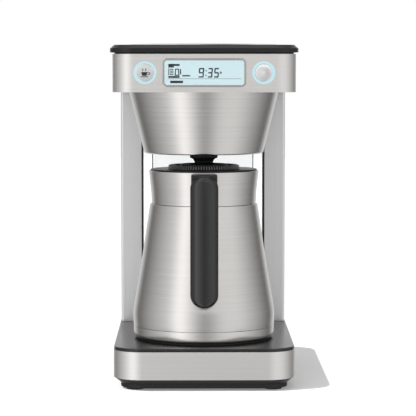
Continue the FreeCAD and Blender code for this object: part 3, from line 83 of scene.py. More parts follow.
# %% Main places
MM = 0.001
FINE_TURN = 192  # steps round a large turned piece


def middle(node):
    """The centre of a node's box."""
    low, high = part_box(node)
    return (low + high) / 2


def reach(node):
    """Half the width of a round node: its radius."""
    low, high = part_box(node)
    return (high.x - low.x) / 2


AXIS = Vector((0, middle("carafe_body").y, 0))
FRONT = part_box("head_band")[0].y
PANEL = middle("display_lens")
print("brewing axis at y = %.4f, head front at y = %.4f" % (AXIS.y, FRONT))

# %% [markdown]
# ## Shared effects for the finishes
# Two effects come back in many finishes, so each is a node group, built once. Brushed metal is covered in
# fine scratches that run one way: noise that is stretched along one axis gives them. Moulded plastic has an
# even grain. Each group gives a mask between 0 and 1, and each material uses it in its own measure.


# %% The brushed grain and the moulded grain
def new_group(name, inputs):
    """An empty group with its number inputs and one mask as its output."""
    group = bpy.data.node_groups.new(name, "ShaderNodeTree")
    for title, value in inputs:
        socket = group.interface.new_socket(title, in_out="INPUT", socket_type="NodeSocketFloat")
        socket.default_value = value
    group.interface.new_socket("Mask", in_out="OUTPUT", socket_type="NodeSocketFloat")
    ends = group.nodes.new("NodeGroupInput"), group.nodes.new("NodeGroupOutput")
    return group, ends[0], ends[1]


def noise(group, scale, detail, roughness):
    """A noise texture in a node tree, with its plain settings."""
    node = group.nodes.new("ShaderNodeTexNoise")
    node.inputs["Scale"].default_value = scale
    node.inputs["Detail"].default_value = detail
    node.inputs["Roughness"].default_value = roughness
    return node


def build_brushed_group():
    """Scratches: three scales, one along each axis, stretch the noise."""
    group, start, end = new_group("brushed_grain", [("Along X", 8), ("Along Y", 8), ("Along Z", 1500)])
    place = group.nodes.new("ShaderNodeTexCoord")
    scales = group.nodes.new("ShaderNodeCombineXYZ")
    for title, axis in (("Along X", "X"), ("Along Y", "Y"), ("Along Z", "Z")):
        group.links.new(start.outputs[title], scales.inputs[axis])
    stretch = group.nodes.new("ShaderNodeVectorMath")
    stretch.operation = "MULTIPLY"
    group.links.new(place.outputs["Object"], stretch.inputs[0])
    group.links.new(scales.outputs[0], stretch.inputs[1])
    fine = noise(group, 1.0, 3.0, 0.6)
    coarse = noise(group, 0.23, 2.0, 0.5)
    for texture in (fine, coarse):
        group.links.new(stretch.outputs[0], texture.inputs["Vector"])
    blend = group.nodes.new("ShaderNodeMix")
    blend.inputs["Factor"].default_value = 0.4
    group.links.new(fine.outputs["Fac"], blend.inputs["A"])
    group.links.new(coarse.outputs["Fac"], blend.inputs["B"])
    group.links.new(blend.outputs["Result"], end.inputs["Mask"])
    return group


def build_grain_group():
    """Moulded plastic's grain: fine noise with a little slow change of gloss."""
    group, start, end = new_group("moulded_grain", [("Scale", 1800)])
    place = group.nodes.new("ShaderNodeTexCoord")
    fine = noise(group, 1800, 2.0, 0.5)
    slow = noise(group, 22, 3.0, 0.5)
    group.links.new(start.outputs["Scale"], fine.inputs["Scale"])
    for texture in (fine, slow):
        group.links.new(place.outputs["Object"], texture.inputs["Vector"])
    blend = group.nodes.new("ShaderNodeMix")
    blend.inputs["Factor"].default_value = 0.35
    group.links.new(fine.outputs["Fac"], blend.inputs["A"])
    group.links.new(slow.outputs["Fac"], blend.inputs["B"])
    group.links.new(blend.outputs["Result"], end.inputs["Mask"])
    return group


BRUSHED = build_brushed_group()
GRAIN = build_grain_group()
print("node groups:", BRUSHED.name, GRAIN.name)

# %% [markdown]
# ## A material from a mask
# Each finish starts from one helper. It makes a Principled shader, sets the plain values on the shader's own
# sockets, and lets the mask move the colour, the roughness and the bump between two ends.


# %% The material helper
materials = {}


def finish(name, dark, light, rough, bump=0.0, group=None, values=(), **sockets):
    """A material whose colour and roughness follow a group's mask. rough is (low, high)."""
    material = bpy.data.materials.new(name)
    material.use_nodes = True
    tree = material.node_tree
    shader = tree.nodes["Principled BSDF"]
    for title, value in sockets.items():
        shader.inputs[title.replace("_", " ")].default_value = value
    mask = tree.nodes.new("ShaderNodeGroup")
    mask.node_tree = group or GRAIN
    for title, value in values:
        mask.inputs[title].default_value = value
    colour = tree.nodes.new("ShaderNodeMix")
    colour.data_type = "RGBA"
    colour.inputs[6].default_value = (*dark, 1)
    colour.inputs[7].default_value = (*light, 1)
    tree.links.new(mask.outputs["Mask"], colour.inputs[0])
    tree.links.new(colour.outputs[2], shader.inputs["Base Color"])
    gloss = tree.nodes.new("ShaderNodeMapRange")
    gloss.inputs["To Min"].default_value = rough[0]
    gloss.inputs["To Max"].default_value = rough[1]
    tree.links.new(mask.outputs["Mask"], gloss.inputs["Value"])
    tree.links.new(gloss.outputs["Result"], shader.inputs["Roughness"])
    if bump:
        relief = tree.nodes.new("ShaderNodeBump")
        relief.inputs["Strength"].default_value = bump
        relief.inputs["Distance"].default_value = 0.02 * MM
        tree.links.new(mask.outputs["Mask"], relief.inputs["Height"])
        tree.links.new(relief.outputs["Normal"], shader.inputs["Normal"])
    materials[name] = material
    return material


def brushed_metal(name, dark, light, rough, along, bump=0.25, turn=True):
    """Steel with scratches. A turned piece also gets highlights that stretch round its axis."""
    stretch = 0.75 if turn else 0.4
    material = finish(name, dark, light, rough, bump, BRUSHED, along, Metallic=1.0, Anisotropic=stretch)
    if turn:
        tree = material.node_tree
        tangent = tree.nodes.new("ShaderNodeTangent")
        tangent.direction_type = "RADIAL"
        tangent.axis = "Z"
        tree.links.new(tangent.outputs["Tangent"], tree.nodes["Principled BSDF"].inputs["Tangent"])
    return material


# %% [markdown]
# ## Steel and aluminium
# The carafe and the funnel are turned on a lathe and brushed round their axis, so their scratches are rings.
# The bands are brushed along their length. The lid's plate is brushed from side to side, and the posts are
# satin aluminium, brushed upright.

# %% The metals
RINGS = (("Along X", 9), ("Along Y", 9), ("Along Z", 2600))
SIDEWAYS = (("Along X", 7), ("Along Y", 7), ("Along Z", 2600))
ACROSS = (("Along X", 7), ("Along Y", 2600), ("Along Z", 7))
UPRIGHT = (("Along X", 1900), ("Along Y", 1900), ("Along Z", 5))

turned_steel = brushed_metal(
    "turned_steel", (0.54, 0.525, 0.51), (0.70, 0.685, 0.665),
    (0.17, 0.27), RINGS,
)
band_steel = brushed_metal(
    "band_steel", (0.66, 0.645, 0.63), (0.82, 0.805, 0.785),
    (0.34, 0.46), SIDEWAYS, turn=False,
)
plate_steel = brushed_metal(
    "plate_steel", (0.58, 0.57, 0.56), (0.72, 0.71, 0.70),
    (0.28, 0.40), ACROSS, turn=False,
)
post_metal = brushed_metal(
    "post_metal", (0.74, 0.74, 0.75), (0.86, 0.86, 0.87),
    (0.45, 0.54), UPRIGHT, 0.12, False,
)
button_steel = brushed_metal(
    "button_steel", (0.74, 0.74, 0.75), (0.92, 0.92, 0.93),
    (0.26, 0.38), SIDEWAYS, 0.3, False,
)
bezel_steel = finish("bezel_steel", (0.70, 0.69, 0.68), (0.80, 0.79, 0.78), (0.12, 0.2), Metallic=1.0)
zinc = finish("zinc", (0.42, 0.42, 0.43), (0.55, 0.55, 0.56), (0.3, 0.45), 0.2, Metallic=1.0)
cast = finish(
    "cast_metal", (0.38, 0.38, 0.38), (0.52, 0.52, 0.52),
    (0.5, 0.65), 0.6, values=(("Scale", 700),), Metallic=1.0,
)

# %% [markdown]
# ## Plastics, rubber and light
# The black parts differ in gloss: the deck and the lid are satin with a soft shine, the handle is a little
# softer, and the feet are matte. The tank is clear and stays a simple glass-like shader, because clear
# plastic shows its edges through refraction. The display and the rings are lit from behind.

# %% The other finishes
lid_black = finish(
    "lid_black", (0.006, 0.006, 0.007), (0.012, 0.012, 0.013),
    (0.30, 0.42), 0.15, Specular_IOR_Level=0.32,
)
# Painted highlight: the ribs are the lid's black plastic, given a lighter grey so that they look lit.
rib_painted_highlight = finish(
    "rib_painted_highlight", (0.12, 0.12, 0.122), (0.15, 0.15, 0.152),
    (0.22, 0.30), 0.05, Specular_IOR_Level=0.9,
)
deck_black = finish("deck_black", (0.006, 0.006, 0.007), (0.012, 0.012, 0.013), (0.22, 0.30), 0.08)
grip_black = finish(
    "grip_black", (0.005, 0.005, 0.0055), (0.010, 0.010, 0.011),
    (0.24, 0.32), 0.3, Specular_IOR_Level=0.62,
)
inner_black = finish(
    "inner_black", (0.008, 0.008, 0.008), (0.018, 0.018, 0.018),
    (0.45, 0.6), 0.35, Specular_IOR_Level=0.3,
)
soft_rubber = finish(
    "soft_rubber", (0.012, 0.012, 0.012), (0.03, 0.03, 0.03),
    (0.7, 0.85), 0.5, values=(("Scale", 900),),
)
silicone = finish("silicone", (0.45, 0.45, 0.43), (0.60, 0.60, 0.58), (0.45, 0.6), 0.2)
board_green = finish("board_green", (0.01, 0.10, 0.04), (0.02, 0.17, 0.07), (0.3, 0.45), 0.2)
hose_milky = finish("hose_milky", (0.55, 0.55, 0.52), (0.70, 0.70, 0.67), (0.35, 0.5), 0.1)
segment_black = finish("segment_black", (0.012, 0.014, 0.016), (0.02, 0.024, 0.026), (0.5, 0.6))

# %% [markdown]
# ## Clear and lit finishes
# Clear plastic and glass need no mask: a Principled shader with full transmission does it. A lit panel is a
# dark surface that gives off its own light, so its emission sets the colour, and a faint glow variation keeps
# it from looking painted.


# %% Clear and lit materials
def clear(name, tint, rough, ior):
    """Clear plastic or glass."""
    material = bpy.data.materials.new(name)
    material.use_nodes = True
    shader = material.node_tree.nodes["Principled BSDF"]
    shader.inputs["Base Color"].default_value = (*tint, 1)
    shader.inputs["Roughness"].default_value = rough
    shader.inputs["IOR"].default_value = ior
    shader.inputs["Transmission Weight"].default_value = 1.0
    materials[name] = material
    return material


def lit(name, dim, full, strength):
    """A back-lit surface whose light is a little uneven."""
    material = finish(name, (0.04, 0.05, 0.05), (0.06, 0.07, 0.07), (0.35, 0.45))
    tree = material.node_tree
    shader = tree.nodes["Principled BSDF"]
    slow = noise(tree, 35, 1.0, 0.5)
    place = tree.nodes.new("ShaderNodeTexCoord")
    tree.links.new(place.outputs["Object"], slow.inputs["Vector"])
    glow = tree.nodes.new("ShaderNodeMix")
    glow.data_type = "RGBA"
    glow.inputs[6].default_value = (*dim, 1)
    glow.inputs[7].default_value = (*full, 1)
    tree.links.new(slow.outputs["Fac"], glow.inputs[0])
    tree.links.new(glow.outputs[2], shader.inputs["Emission Color"])
    shader.inputs["Emission Strength"].default_value = strength
    return material


clear_tank = clear("clear_tank", (0.965, 0.975, 0.975), 0.03, 1.3)
display_glass = clear("display_glass", (1, 1, 1), 0.02, 1.2)
lcd_glow = lit("lcd_glow", (0.58, 0.76, 0.81), (0.62, 0.80, 0.85), 0.95)
ring_glow = lit("ring_glow", (0.50, 0.74, 0.81), (0.56, 0.80, 0.86), 0.92)
print(len(materials), "finishes")

# %% [markdown]
# ## From bmesh to a piece
# A bmesh is a scratch mesh. When its shape is done, its faces are turned outwards and shaded smooth, except
# across real edges. The object then rides on the body that carries it, takes the place of the CAD nodes that
# it hides, and gets its finish as its one material.

# %% The piece helper
SHARP = math.radians(32)


def piece(name, shape, material, body, nodes=(), edge=0.0, steps=2, sharp=SHARP):
    """Turns a bmesh into a finished piece."""
    bmesh.ops.remove_doubles(shape, verts=shape.verts, dist=0.001 * MM)
    bmesh.ops.recalc_face_normals(shape, faces=shape.faces)
    mesh = bpy.data.meshes.new(name)
    shape.to_mesh(mesh)
    shape.free()
    return dress(name, mesh, material, body, nodes, edge, steps, sharp)


def dress(name, mesh, material, body, nodes, edge, steps, sharp):
    """Links a mesh as a smooth-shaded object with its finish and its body."""
    mesh.shade_smooth()
    mesh.set_sharp_from_angle(angle=sharp)
    thing = bpy.data.objects.new(name, mesh)
    scene.collection.objects.link(thing)
    mesh.materials.clear()
    mesh.materials.append(material)
    if edge:
        round_off = thing.modifiers.new("rounded edges", "BEVEL")
        round_off.width = edge
        round_off.segments = steps
        round_off.limit_method = "ANGLE"
        round_off.angle_limit = sharp
        round_off.harden_normals = True
    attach(thing, body)
    if nodes:
        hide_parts(*nodes)
    print("%s: %d faces on %s" % (name, len(mesh.polygons), body))
    return thing


# %% [markdown]
# ## Keeping a good CAD shape
# Many nodes already have the right shape. A copy of the node's triangles is merged, its flat regions are
# dissolved back into whole faces, and a small bevel gives every real edge a highlight, as a moulded part or a
# pressed one has. The body comes from the frame's record, and each call gives the finish.

# %% Refined copies of CAD nodes
RECORD = frame["record"]
BODY_OF = {node: body for body, nodes in RECORD["behaviour"]["bodies"].items() for node in nodes}


def refined(node, material, edge=0.25 * MM, steps=2, sharp=SHARP):
    """A node's own shape, cleaned and with its edges rounded."""
    shape = bmesh.new()
    shape.from_mesh(frame["nodes"][node].data)
    bmesh.ops.remove_doubles(shape, verts=shape.verts, dist=0.002 * MM)
    flat = math.radians(0.2)
    bmesh.ops.dissolve_limit(shape, angle_limit=flat, verts=shape.verts, edges=shape.edges)
    mesh = bpy.data.meshes.new(node + "_look")
    shape.to_mesh(mesh)
    shape.free()
    return dress(node + "_look", mesh, material, BODY_OF[node], [node], edge, steps, sharp)


# %% [markdown]
# ## Turned pieces
# Round parts are made as on a lathe: a profile is drawn at the side and spun once round its axis. A profile
# is a short list of (radius, height) points. A point with a third number is a corner to be rounded with that
# radius.


# %% The lathe
def rounded(profile, steps=6):
    """The profile with its marked corners replaced by arcs."""
    points = [Vector(p[:2]) for p in profile]
    result = []
    for i, corner in enumerate(profile):
        if len(corner) < 3:
            result.append(points[i])
            continue
        to_last = (points[i - 1] - points[i]).normalized()
        to_next = (points[(i + 1) % len(points)] - points[i]).normalized()
        half = to_last.angle(to_next) / 2
        start = points[i] + to_last * corner[2] / math.tan(half)
        end = points[i] + to_next * corner[2] / math.tan(half)
        centre = points[i] + (to_last + to_next).normalized() * corner[2] / math.sin(half)
        for step in range(steps + 1):
            spot = start.lerp(end, step / steps) - centre
            result.append(centre + spot.normalized() * corner[2])
    return result


def lathe(profile, axis=AXIS, count=160, closed=True):
    """Spins a profile round an upright axis. A closed profile gives a solid ring."""
    shape = bmesh.new()
    verts = [shape.verts.new((axis.x + p.x, axis.y, p.y)) for p in rounded(profile)]
    pairs = list(zip(verts, verts[1:])) + ([(verts[-1], verts[0])] if closed else [])
    edges = [shape.edges.new(pair) for pair in pairs]
    turn = {"cent": axis, "axis": (0, 0, 1), "angle": math.tau, "steps": count, "use_merge": True}
    bmesh.ops.spin(shape, geom=verts + edges, **turn)
    return shape


# %% [markdown]
# ## The steel funnel
# The funnel is one sheet of steel, spun to a cone and brushed round its axis. Its lower edge is rolled in,
# which is what makes the soft dark line over the carafe.

# %% Funnel
FUNNEL_LOW, FUNNEL_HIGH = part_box("funnel_shell")[0].z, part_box("funnel_shell")[1].z
TOP_R = reach("funnel_shell")
LOW_R = TOP_R - 19.2 * MM
STEEL = 1.2 * MM
funnel_profile = [
    (LOW_R - 6 * MM, FUNNEL_LOW),
    (LOW_R, FUNNEL_LOW, 3 * MM),
    (TOP_R, FUNNEL_HIGH),
    (TOP_R - STEEL, FUNNEL_HIGH),
    (LOW_R - STEEL, FUNNEL_LOW + STEEL, 1.8 * MM),
    (LOW_R - 6 * MM, FUNNEL_LOW + STEEL),
]
piece("funnel", lathe(funnel_profile), turned_steel, "machine", ["funnel_shell"], 0.2 * MM)

# %% [markdown]
# ## The carafe's steel
# The carafe has three steel parts: a shallow base pan, a body that leans in towards the neck, and a flared
# collar. Each seam shows as a fine dark line, so the parts stay separate and their edges turn in a little.

# %% Carafe body
BODY_LOW, BODY_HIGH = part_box("carafe_body")[0].z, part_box("carafe_body")[1].z
WIDE = reach("carafe_body")
THIN = 1 * MM
SIDE = [
    (WIDE - 0.6 * MM, BODY_LOW),
    (WIDE + 0.5 * MM, BODY_LOW + 15.5 * MM, 71 * MM),
    (WIDE - 11.8 * MM, BODY_LOW + 87.5 * MM, 356 * MM),
    (WIDE - 21.5 * MM, BODY_HIGH, 0.7 * MM),
]
inner_side = [(p[0] - THIN,) + tuple(p[1:]) for p in SIDE[:3]]
body_profile = SIDE + [(WIDE - 24.5 * MM, BODY_HIGH), (WIDE - 24.5 * MM, BODY_HIGH - THIN)]
body_profile += [(WIDE - 22.5 * MM, BODY_HIGH - THIN)] + inner_side[::-1]
body_shape = lathe(body_profile, count=FINE_TURN)
piece("carafe_wall", body_shape, turned_steel, "carafe", ["carafe_body"])

# %% Carafe base pan
PAN_LOW, PAN_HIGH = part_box("carafe_base_ring")[0].z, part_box("carafe_base_ring")[1].z
PAN_R = reach("carafe_base_ring")
pan_profile = [
    (0, PAN_LOW),
    (PAN_R, PAN_LOW, 3.2 * MM),
    (PAN_R, PAN_HIGH - 0.2 * MM, 0.5 * MM),
    (PAN_R - THIN, PAN_HIGH - 0.2 * MM),
    (PAN_R - THIN, PAN_LOW + THIN, 2.2 * MM),
    (0, PAN_LOW + THIN),
]
pan_shape = lathe(pan_profile, count=FINE_TURN, closed=False)
piece("carafe_pan", pan_shape, turned_steel, "carafe", ["carafe_base_ring"])

# %% Carafe collar
NECK_LOW, NECK_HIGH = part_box("carafe_collar")[0].z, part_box("carafe_collar")[1].z
RIM = reach("carafe_collar")
MOUTH = RIM - 7.2 * MM
collar_profile = [
    (RIM - 3.6 * MM, NECK_LOW, 0.4 * MM),
    (RIM - 3.0 * MM, NECK_LOW + 14 * MM, 88 * MM),
    (RIM, NECK_HIGH, 0.8 * MM),
    (MOUTH, NECK_HIGH, 0.8 * MM),
    (MOUTH, NECK_HIGH - 1.5 * MM),
    (RIM - 1.3 * MM, NECK_HIGH - 1.5 * MM),
    (RIM - 4.0 * MM, NECK_LOW + 14 * MM),
    (RIM - 4.6 * MM, NECK_LOW),
]
collar_shape = lathe(collar_profile, count=FINE_TURN)
piece("carafe_neck", collar_shape, turned_steel, "carafe", ["carafe_collar"])

# %% [markdown]
# ## The carafe's lid
# The lid screws into the neck. A disc lies on the rim, a ribbed ring stands on it for the fingers, and a
# raised ring inside carries the opening that the coffee drips into. The disc and rings are one lathe profile.
# The ribs are small bevelled bars, one shape repeated round the ring. Their grey is a painted highlight: they
# are the lid's black plastic, coloured lighter so that they show as lit.

# %% Carafe lid
LID_LOW, LID_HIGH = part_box("carafe_lid")[0].z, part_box("carafe_lid")[1].z
LID_R = reach("carafe_lid")
DISC = LID_HIGH - 7.7 * MM
KNURL = 44.4 * MM
lid_profile = [
    (5.8 * MM, LID_LOW + 2 * MM),
    (57.6 * MM, LID_LOW, 1.5 * MM),
    (57.6 * MM, DISC),
    (LID_R, DISC, 0.3 * MM),
    (LID_R - 0.6 * MM, DISC + 1.4 * MM, 0.8 * MM),
    (KNURL + 1 * MM, DISC + 1.4 * MM, 0.6 * MM),
    (KNURL - 0.2 * MM, DISC + 2.2 * MM),
    (KNURL - 1.8 * MM, LID_HIGH - 1 * MM, 1.0 * MM),
    (KNURL - 6 * MM, LID_HIGH - 1 * MM, 1.0 * MM),
    (KNURL - 7 * MM, DISC + 1.4 * MM, 0.8 * MM),
    (30.4 * MM, DISC + 1.4 * MM, 0.6 * MM),
    (29.8 * MM, LID_HIGH, 0.8 * MM),
    (27.4 * MM, LID_HIGH, 0.8 * MM),
    (12 * MM, DISC + 0.6 * MM, 2 * MM),
    (5.8 * MM, DISC),
]
piece("carafe_screw_lid", lathe(lid_profile), lid_black, "carafe_lid", ["carafe_lid"])

# %% Ribs round the lid's ring
RIBS = 84
RIB_TIP = 0.45  # how wide a rib is outside, against its root


def ribs(radius, low, high, count, width, depth, lean):
    """Bars round a ring. Each leans in by lean at its top."""
    shape = bmesh.new()
    for number in range(count):
        bar = bmesh.ops.create_cube(shape, size=1)["verts"]
        bmesh.ops.scale(shape, vec=(depth, width, high - low), verts=bar)
        top = [v for v in bar if v.co.z > 0]
        bmesh.ops.translate(shape, vec=(-lean, 0, 0), verts=top)
        outer = [v for v in bar if v.co.x > (-lean if v in top else 0)]
        bmesh.ops.scale(shape, vec=(1, RIB_TIP, 1), verts=outer)
        bmesh.ops.translate(shape, vec=(radius, 0, (low + high) / 2), verts=bar)
        turn = Matrix.Rotation(math.tau * number / count, 3, "Z")
        bmesh.ops.rotate(shape, cent=(0, 0, 0), matrix=turn, verts=bar)
        bmesh.ops.translate(shape, vec=AXIS, verts=bar)
    return shape


rib_sizes = {"width": 1.9 * MM, "depth": 1.7 * MM, "lean": 1.3 * MM}
rib_shape = ribs(KNURL, DISC + 1.6 * MM, LID_HIGH - 1.4 * MM, RIBS, **rib_sizes)
piece("lid_ribs", rib_shape, rib_painted_highlight, "carafe_lid")

# %% [markdown]
# ## The carafe's handle
# The handle is a soft-touch bar that hangs from the collar, with round ends and wide rounded edges. A cube
# is enough to start: bevelling its four corner edges by nearly half its width makes the round ends, and a
# second bevel along the front and rear outlines gives the soft edge that the fingers feel. Upright cuts then
# let the front be crowned, so that a soft highlight runs down it.

# %% Handle
GRIP_LOW, GRIP_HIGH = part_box("carafe_handle")
END_SHARE = 0.46  # of the width, rounded off at each corner
SOFT_EDGE = 7.2 * MM
CROWN = 3.8 * MM
CROWN_CUTS = 12  # upright strips across the whole width


def grip_shape():
    """The bar: round ends, soft outline, crowned front."""
    shape = bmesh.new()
    bmesh.ops.create_cube(shape, size=1)
    size = GRIP_HIGH - GRIP_LOW
    bmesh.ops.scale(shape, vec=size, verts=shape.verts)
    corners = [e for e in shape.edges if abs(e.verts[0].co.y - e.verts[1].co.y) > size.y / 2]
    round_ends = {"segments": 14, "profile": 0.5, "affect": "EDGES", "material": -1}
    bmesh.ops.bevel(shape, geom=corners, offset=size.x * END_SHARE, offset_type="OFFSET", **round_ends)
    outline = [e for e in shape.edges if abs(e.verts[0].co.y - e.verts[1].co.y) < 1e-6]
    soft = {"segments": 8, "profile": 0.5, "affect": "EDGES", "material": -1}
    bmesh.ops.bevel(shape, geom=outline, offset=SOFT_EDGE, offset_type="OFFSET", **soft)
    for step in range(-4, 5):  # the flat of the front; the soft edge has edges of its own
        cut = (size.x * step / CROWN_CUTS, 0, 0)
        everything = shape.verts[:] + shape.edges[:] + shape.faces[:]
        bmesh.ops.bisect_plane(shape, geom=everything, dist=1e-6, plane_co=cut, plane_no=(1, 0, 0))
    for vert in shape.verts:
        if vert.co.y < 0:
            vert.co.y += CROWN * (2 * vert.co.x / size.x) ** 2
    bmesh.ops.translate(shape, vec=(GRIP_LOW + GRIP_HIGH) / 2, verts=shape.verts)
    return shape


piece("carafe_grip", grip_shape(), grip_black, "carafe", ["carafe_handle"])
refined("carafe_handle_bracket", grip_black, 1.2 * MM, 4)

# %% [markdown]
# ## The rest of the carafe
# The lining is the inner steel wall, seen when the lid is off. The foot is a soft ring, and the seal is a
# silicone band in the plug. Their CAD shapes are right, so they keep them.

# %% Lining, foot and seal
refined("carafe_liner", turned_steel, 0)
refined("carafe_foot", soft_rubber, 0.4 * MM)
refined("carafe_lid_seal", silicone, 0.6 * MM, 3)

# %% [markdown]
# ## The base
# A black pan stands on four rubber feet. A brushed steel band wraps round it, and a black deck closes the
# top. The deck has a wide soft edge, where the light draws a bright line.

# %% Base shells
refined("rubber_feet", soft_rubber, 0.5 * MM)
refined("base_pan", inner_black, 0.8 * MM)
refined("base_band", band_steel, 0.2 * MM)
refined("base_deck", deck_black, 1.0 * MM, 4)

# %% [markdown]
# ## The posts
# Two satin aluminium covers carry the head, each with a black inner strip, and the water and the wires climb
# inside them.

# %% Post covers
for side in ("left", "right"):
    refined("column_%s_cover" % side, post_metal, 0.3 * MM)
    refined("column_%s_inner" % side, inner_black, 0.3 * MM)

# %% [markdown]
# ## The head
# The head's steel band is brushed along its length. A polished bezel frames the glass, and two rings of light
# surround the button and the dial.

# %% Head band, bezel and glass
refined("head_band", band_steel, 0.2 * MM)
refined("display_bezel", bezel_steel, 0.35 * MM, 3)
refined("display_lens", display_glass, 0.2 * MM)
refined("display_panel", lcd_glow, 0.2 * MM)
refined("head_chassis", inner_black, 0.3 * MM)
refined("head_rear_cover", lid_black, 0.4 * MM)

# %% Button, dial and rings of light
refined("brew_button", button_steel, 0.3 * MM, 3)
refined("dial_knob", button_steel, 0.3 * MM, 3)
refined("brew_light_ring", ring_glow, 0.2 * MM)
refined("dial_light_ring", ring_glow, 0.2 * MM)

# %% [markdown]
# ## The lid
# The lid is a black moulding with an upright rim that overhangs the band. A brushed steel plate, crowned like
# a shallow dome, covers its top.

# %% Lid
refined("lid_shell", lid_black, 0.9 * MM, 4)
refined("lid_plate", plate_steel, 0.5 * MM, 3)
refined("shower_head", inner_black, 0.3 * MM)

# %% [markdown]
# ## Funnel and basket
# Inside the steel cone sits a black liner, and the brew basket drops into it. The drip stop closes the
# basket's spout until a carafe is pushed in.

# %% Liner, basket and drip stop
refined("funnel_liner", inner_black, 0.3 * MM)
refined("brew_basket", inner_black, 0.5 * MM)
refined("drip_stop_valve", inner_black, 0.3 * MM)

# %% Skirt round the spout
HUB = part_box("brew_basket")[0].z + 7 * MM
skirt_profile = [
    (11 * MM, HUB + 0.5 * MM),
    (17.3 * MM, HUB + 0.5 * MM),
    (17.3 * MM, HUB - 0.4 * MM, 0.5 * MM),
    (13.4 * MM, HUB - 2.2 * MM, 3 * MM),
    (11.9 * MM, HUB - 5.2 * MM),
    (11 * MM, HUB - 5.2 * MM),
]
piece("spout_skirt", lathe(skirt_profile, count=96), inner_black, "machine")

# %% [markdown]
# ## The water tank
# The tank and its cover are clear, with rounded upright edges, so the posts and the carafe show through them.

# %% Tank
refined("tank_body", clear_tank, 0.3 * MM)
refined("tank_cover", clear_tank, 0.5 * MM)
refined("tank_valve", silicone, 0.3 * MM)
refined("tank_valve_seat", inner_black, 0.3 * MM)
refined("water_outlet", inner_black, 0.3 * MM)

# %% [markdown]
# ## Inside parts
# Parts that only show when something is opened keep their CAD mesh and get a finish: each material slot of
# the node's object is filled with it.

# %% Finishes for the inside parts
INSIDE = {
    "base_screws": zinc,
    "column_screws": zinc,
    "cord_gland": soft_rubber,
    "pump": cast,
    "heater_block": cast,
    "thermostat": cast,
    "control_board": board_green,
    "display_board": board_green,
    "dial_shaft": zinc,
    "brew_button_spring": zinc,
    "dial_spring": zinc,
    "lid_hinge_pins": zinc,
    "tank_hinge_pins": zinc,
    "cold_hose": hose_milky,
    "pump_tube": hose_milky,
    "hot_riser_tube": hose_milky,
    "wire_loom": soft_rubber,
}
for node, material in INSIDE.items():
    for holder in frame["nodes"][node].material_slots:
        holder.material = material
print(len(INSIDE), "inside parts have a finish")

# %% [markdown]
# ## What the display shows
# The display is a segment display: every sign is a set of straight bars, cut from one flat layer just behind
# the glass. The bars are thin plates, all made by one helper that takes places measured from the glass's
# centre in millimetres. The clock and the small pictures are generic.

# %% Bars on the display
LAYER = PANEL.y + 1.35 * MM
BAR_DEPTH = 0.12 * MM


def bars(name, places, material=segment_black):
    """Thin plates. Each place is (left, right, low, high, lean), where lean slants the top to the right."""
    shape = bmesh.new()
    for left, right, low, high, lean in places:
        plate = bmesh.ops.create_cube(shape, size=1)["verts"]
        bmesh.ops.scale(shape, vec=((right - left) * MM, BAR_DEPTH, (high - low) * MM), verts=plate)
        top = [v for v in plate if v.co.z > 0]
        bmesh.ops.translate(shape, vec=(lean * MM, 0, 0), verts=top)
        centre = (PANEL.x + (left + right) / 2 * MM, LAYER, PANEL.z + (low + high) / 2 * MM)
        bmesh.ops.translate(shape, vec=centre, verts=plate)
    return piece(name, shape, material, "machine")


# %% [markdown]
# ### The clock
# A seven-segment digit is seven bars. Each digit names the bars that are on: a to f run round the outside
# from the top, and g is the middle. The whole digit leans a little to the right, as on most clocks.

# %% Clock digits
DIGIT_LOW, DIGIT_HIGH = -5.9, 5.6
BAR = 1.6
SLANT = 0.09  # to the right, for each unit of height
SEGMENTS = {"9": "abcdfg", "3": "abcdg", "5": "acdfg"}


def digit(sign, left, right):
    """The bars of one digit between two sides."""
    half = (DIGIT_LOW + DIGIT_HIGH) / 2
    flat = {"a": DIGIT_HIGH - BAR, "d": DIGIT_LOW, "g": half - BAR / 2}
    tall = {"b": (right - BAR, 1), "c": (right - BAR, 0), "e": (left, 0), "f": (left, 1)}
    places = []
    for key in SEGMENTS[sign]:
        if key in flat:
            low = flat[key]
            shift = SLANT * (low - DIGIT_LOW)
            places.append((left + 0.5 + shift, right - 0.5 + shift, low, low + BAR, 0.1))
        else:
            start, upper = tall[key]
            low = half + 0.35 if upper else DIGIT_LOW + 0.5
            high = DIGIT_HIGH - 0.5 if upper else half - 0.35
            shift = SLANT * (low - DIGIT_LOW)
            places.append((start + shift, start + BAR + shift, low, high, 0.45))
    return places


clock = digit("9", -7.4, -0.9) + digit("3", 3.7, 9.4) + digit("5", 11.2, 17.0)
clock += [(1.2, 2.6, -3.9, -2.5, 0.1), (1.5, 2.9, 1.6, 3.0, 0.1)]
clock += [(18.6, 19.6, -1.6, 1.6, 0), (19.9, 20.9, -0.9, 0.9, 0)]
bars("clock_digits", clock)

# %% [markdown]
# ### The small pictures
# At the left a little picture of the machine shows its state: a tank with level lines, a head, a base and a
# jug. Beside it and under it lie plain bars where such a display writes its labels.

# %% Machine picture and label bars
picture = [
    (-43.2, -29.6, 8.0, 10.5, 0),
    (-43.2, -36.5, 6.1, 8.0, 0),
    (-43.2, -29.7, -6.3, -4.0, 0),
    (-43.2, -42.3, -3.2, 5.1, 0),
]
picture += [(-41.6, -37.0, low, low + 1.1, 0) for low in (-2.9, -0.8, 1.3, 3.4)]
picture += [(-35.6, -29.8, -3.6, -2.4, 0), (-35.6, -34.4, -2.4, 4.0, 0.6), (-31.2, -30.0, -2.4, 4.0, -0.6)]
picture += [(-35.2, -30.4, 3.6, 4.8, 0), (-29.4, -27.9, -2.0, 4.2, 0)]
picture += [(-26.6, -17.0, -4.5, -2.9, 0), (-44.2, 44.2, -7.5, -7.1, 0), (-41.0, -25.6, -12.6, -9.6, 0)]
bars("display_signs", picture)

# %% [markdown]
# ## The sign on the brew button
# The button carries a plain cup with two curls of steam, in thin bars that stand a hair proud of its face, as
# pad printing does. They ride on the button.

# %% Cup sign
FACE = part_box("brew_button")[0].y
CENTRE = middle("brew_button")
INK = 0.1 * MM
SIGN_SCALE = 1.25


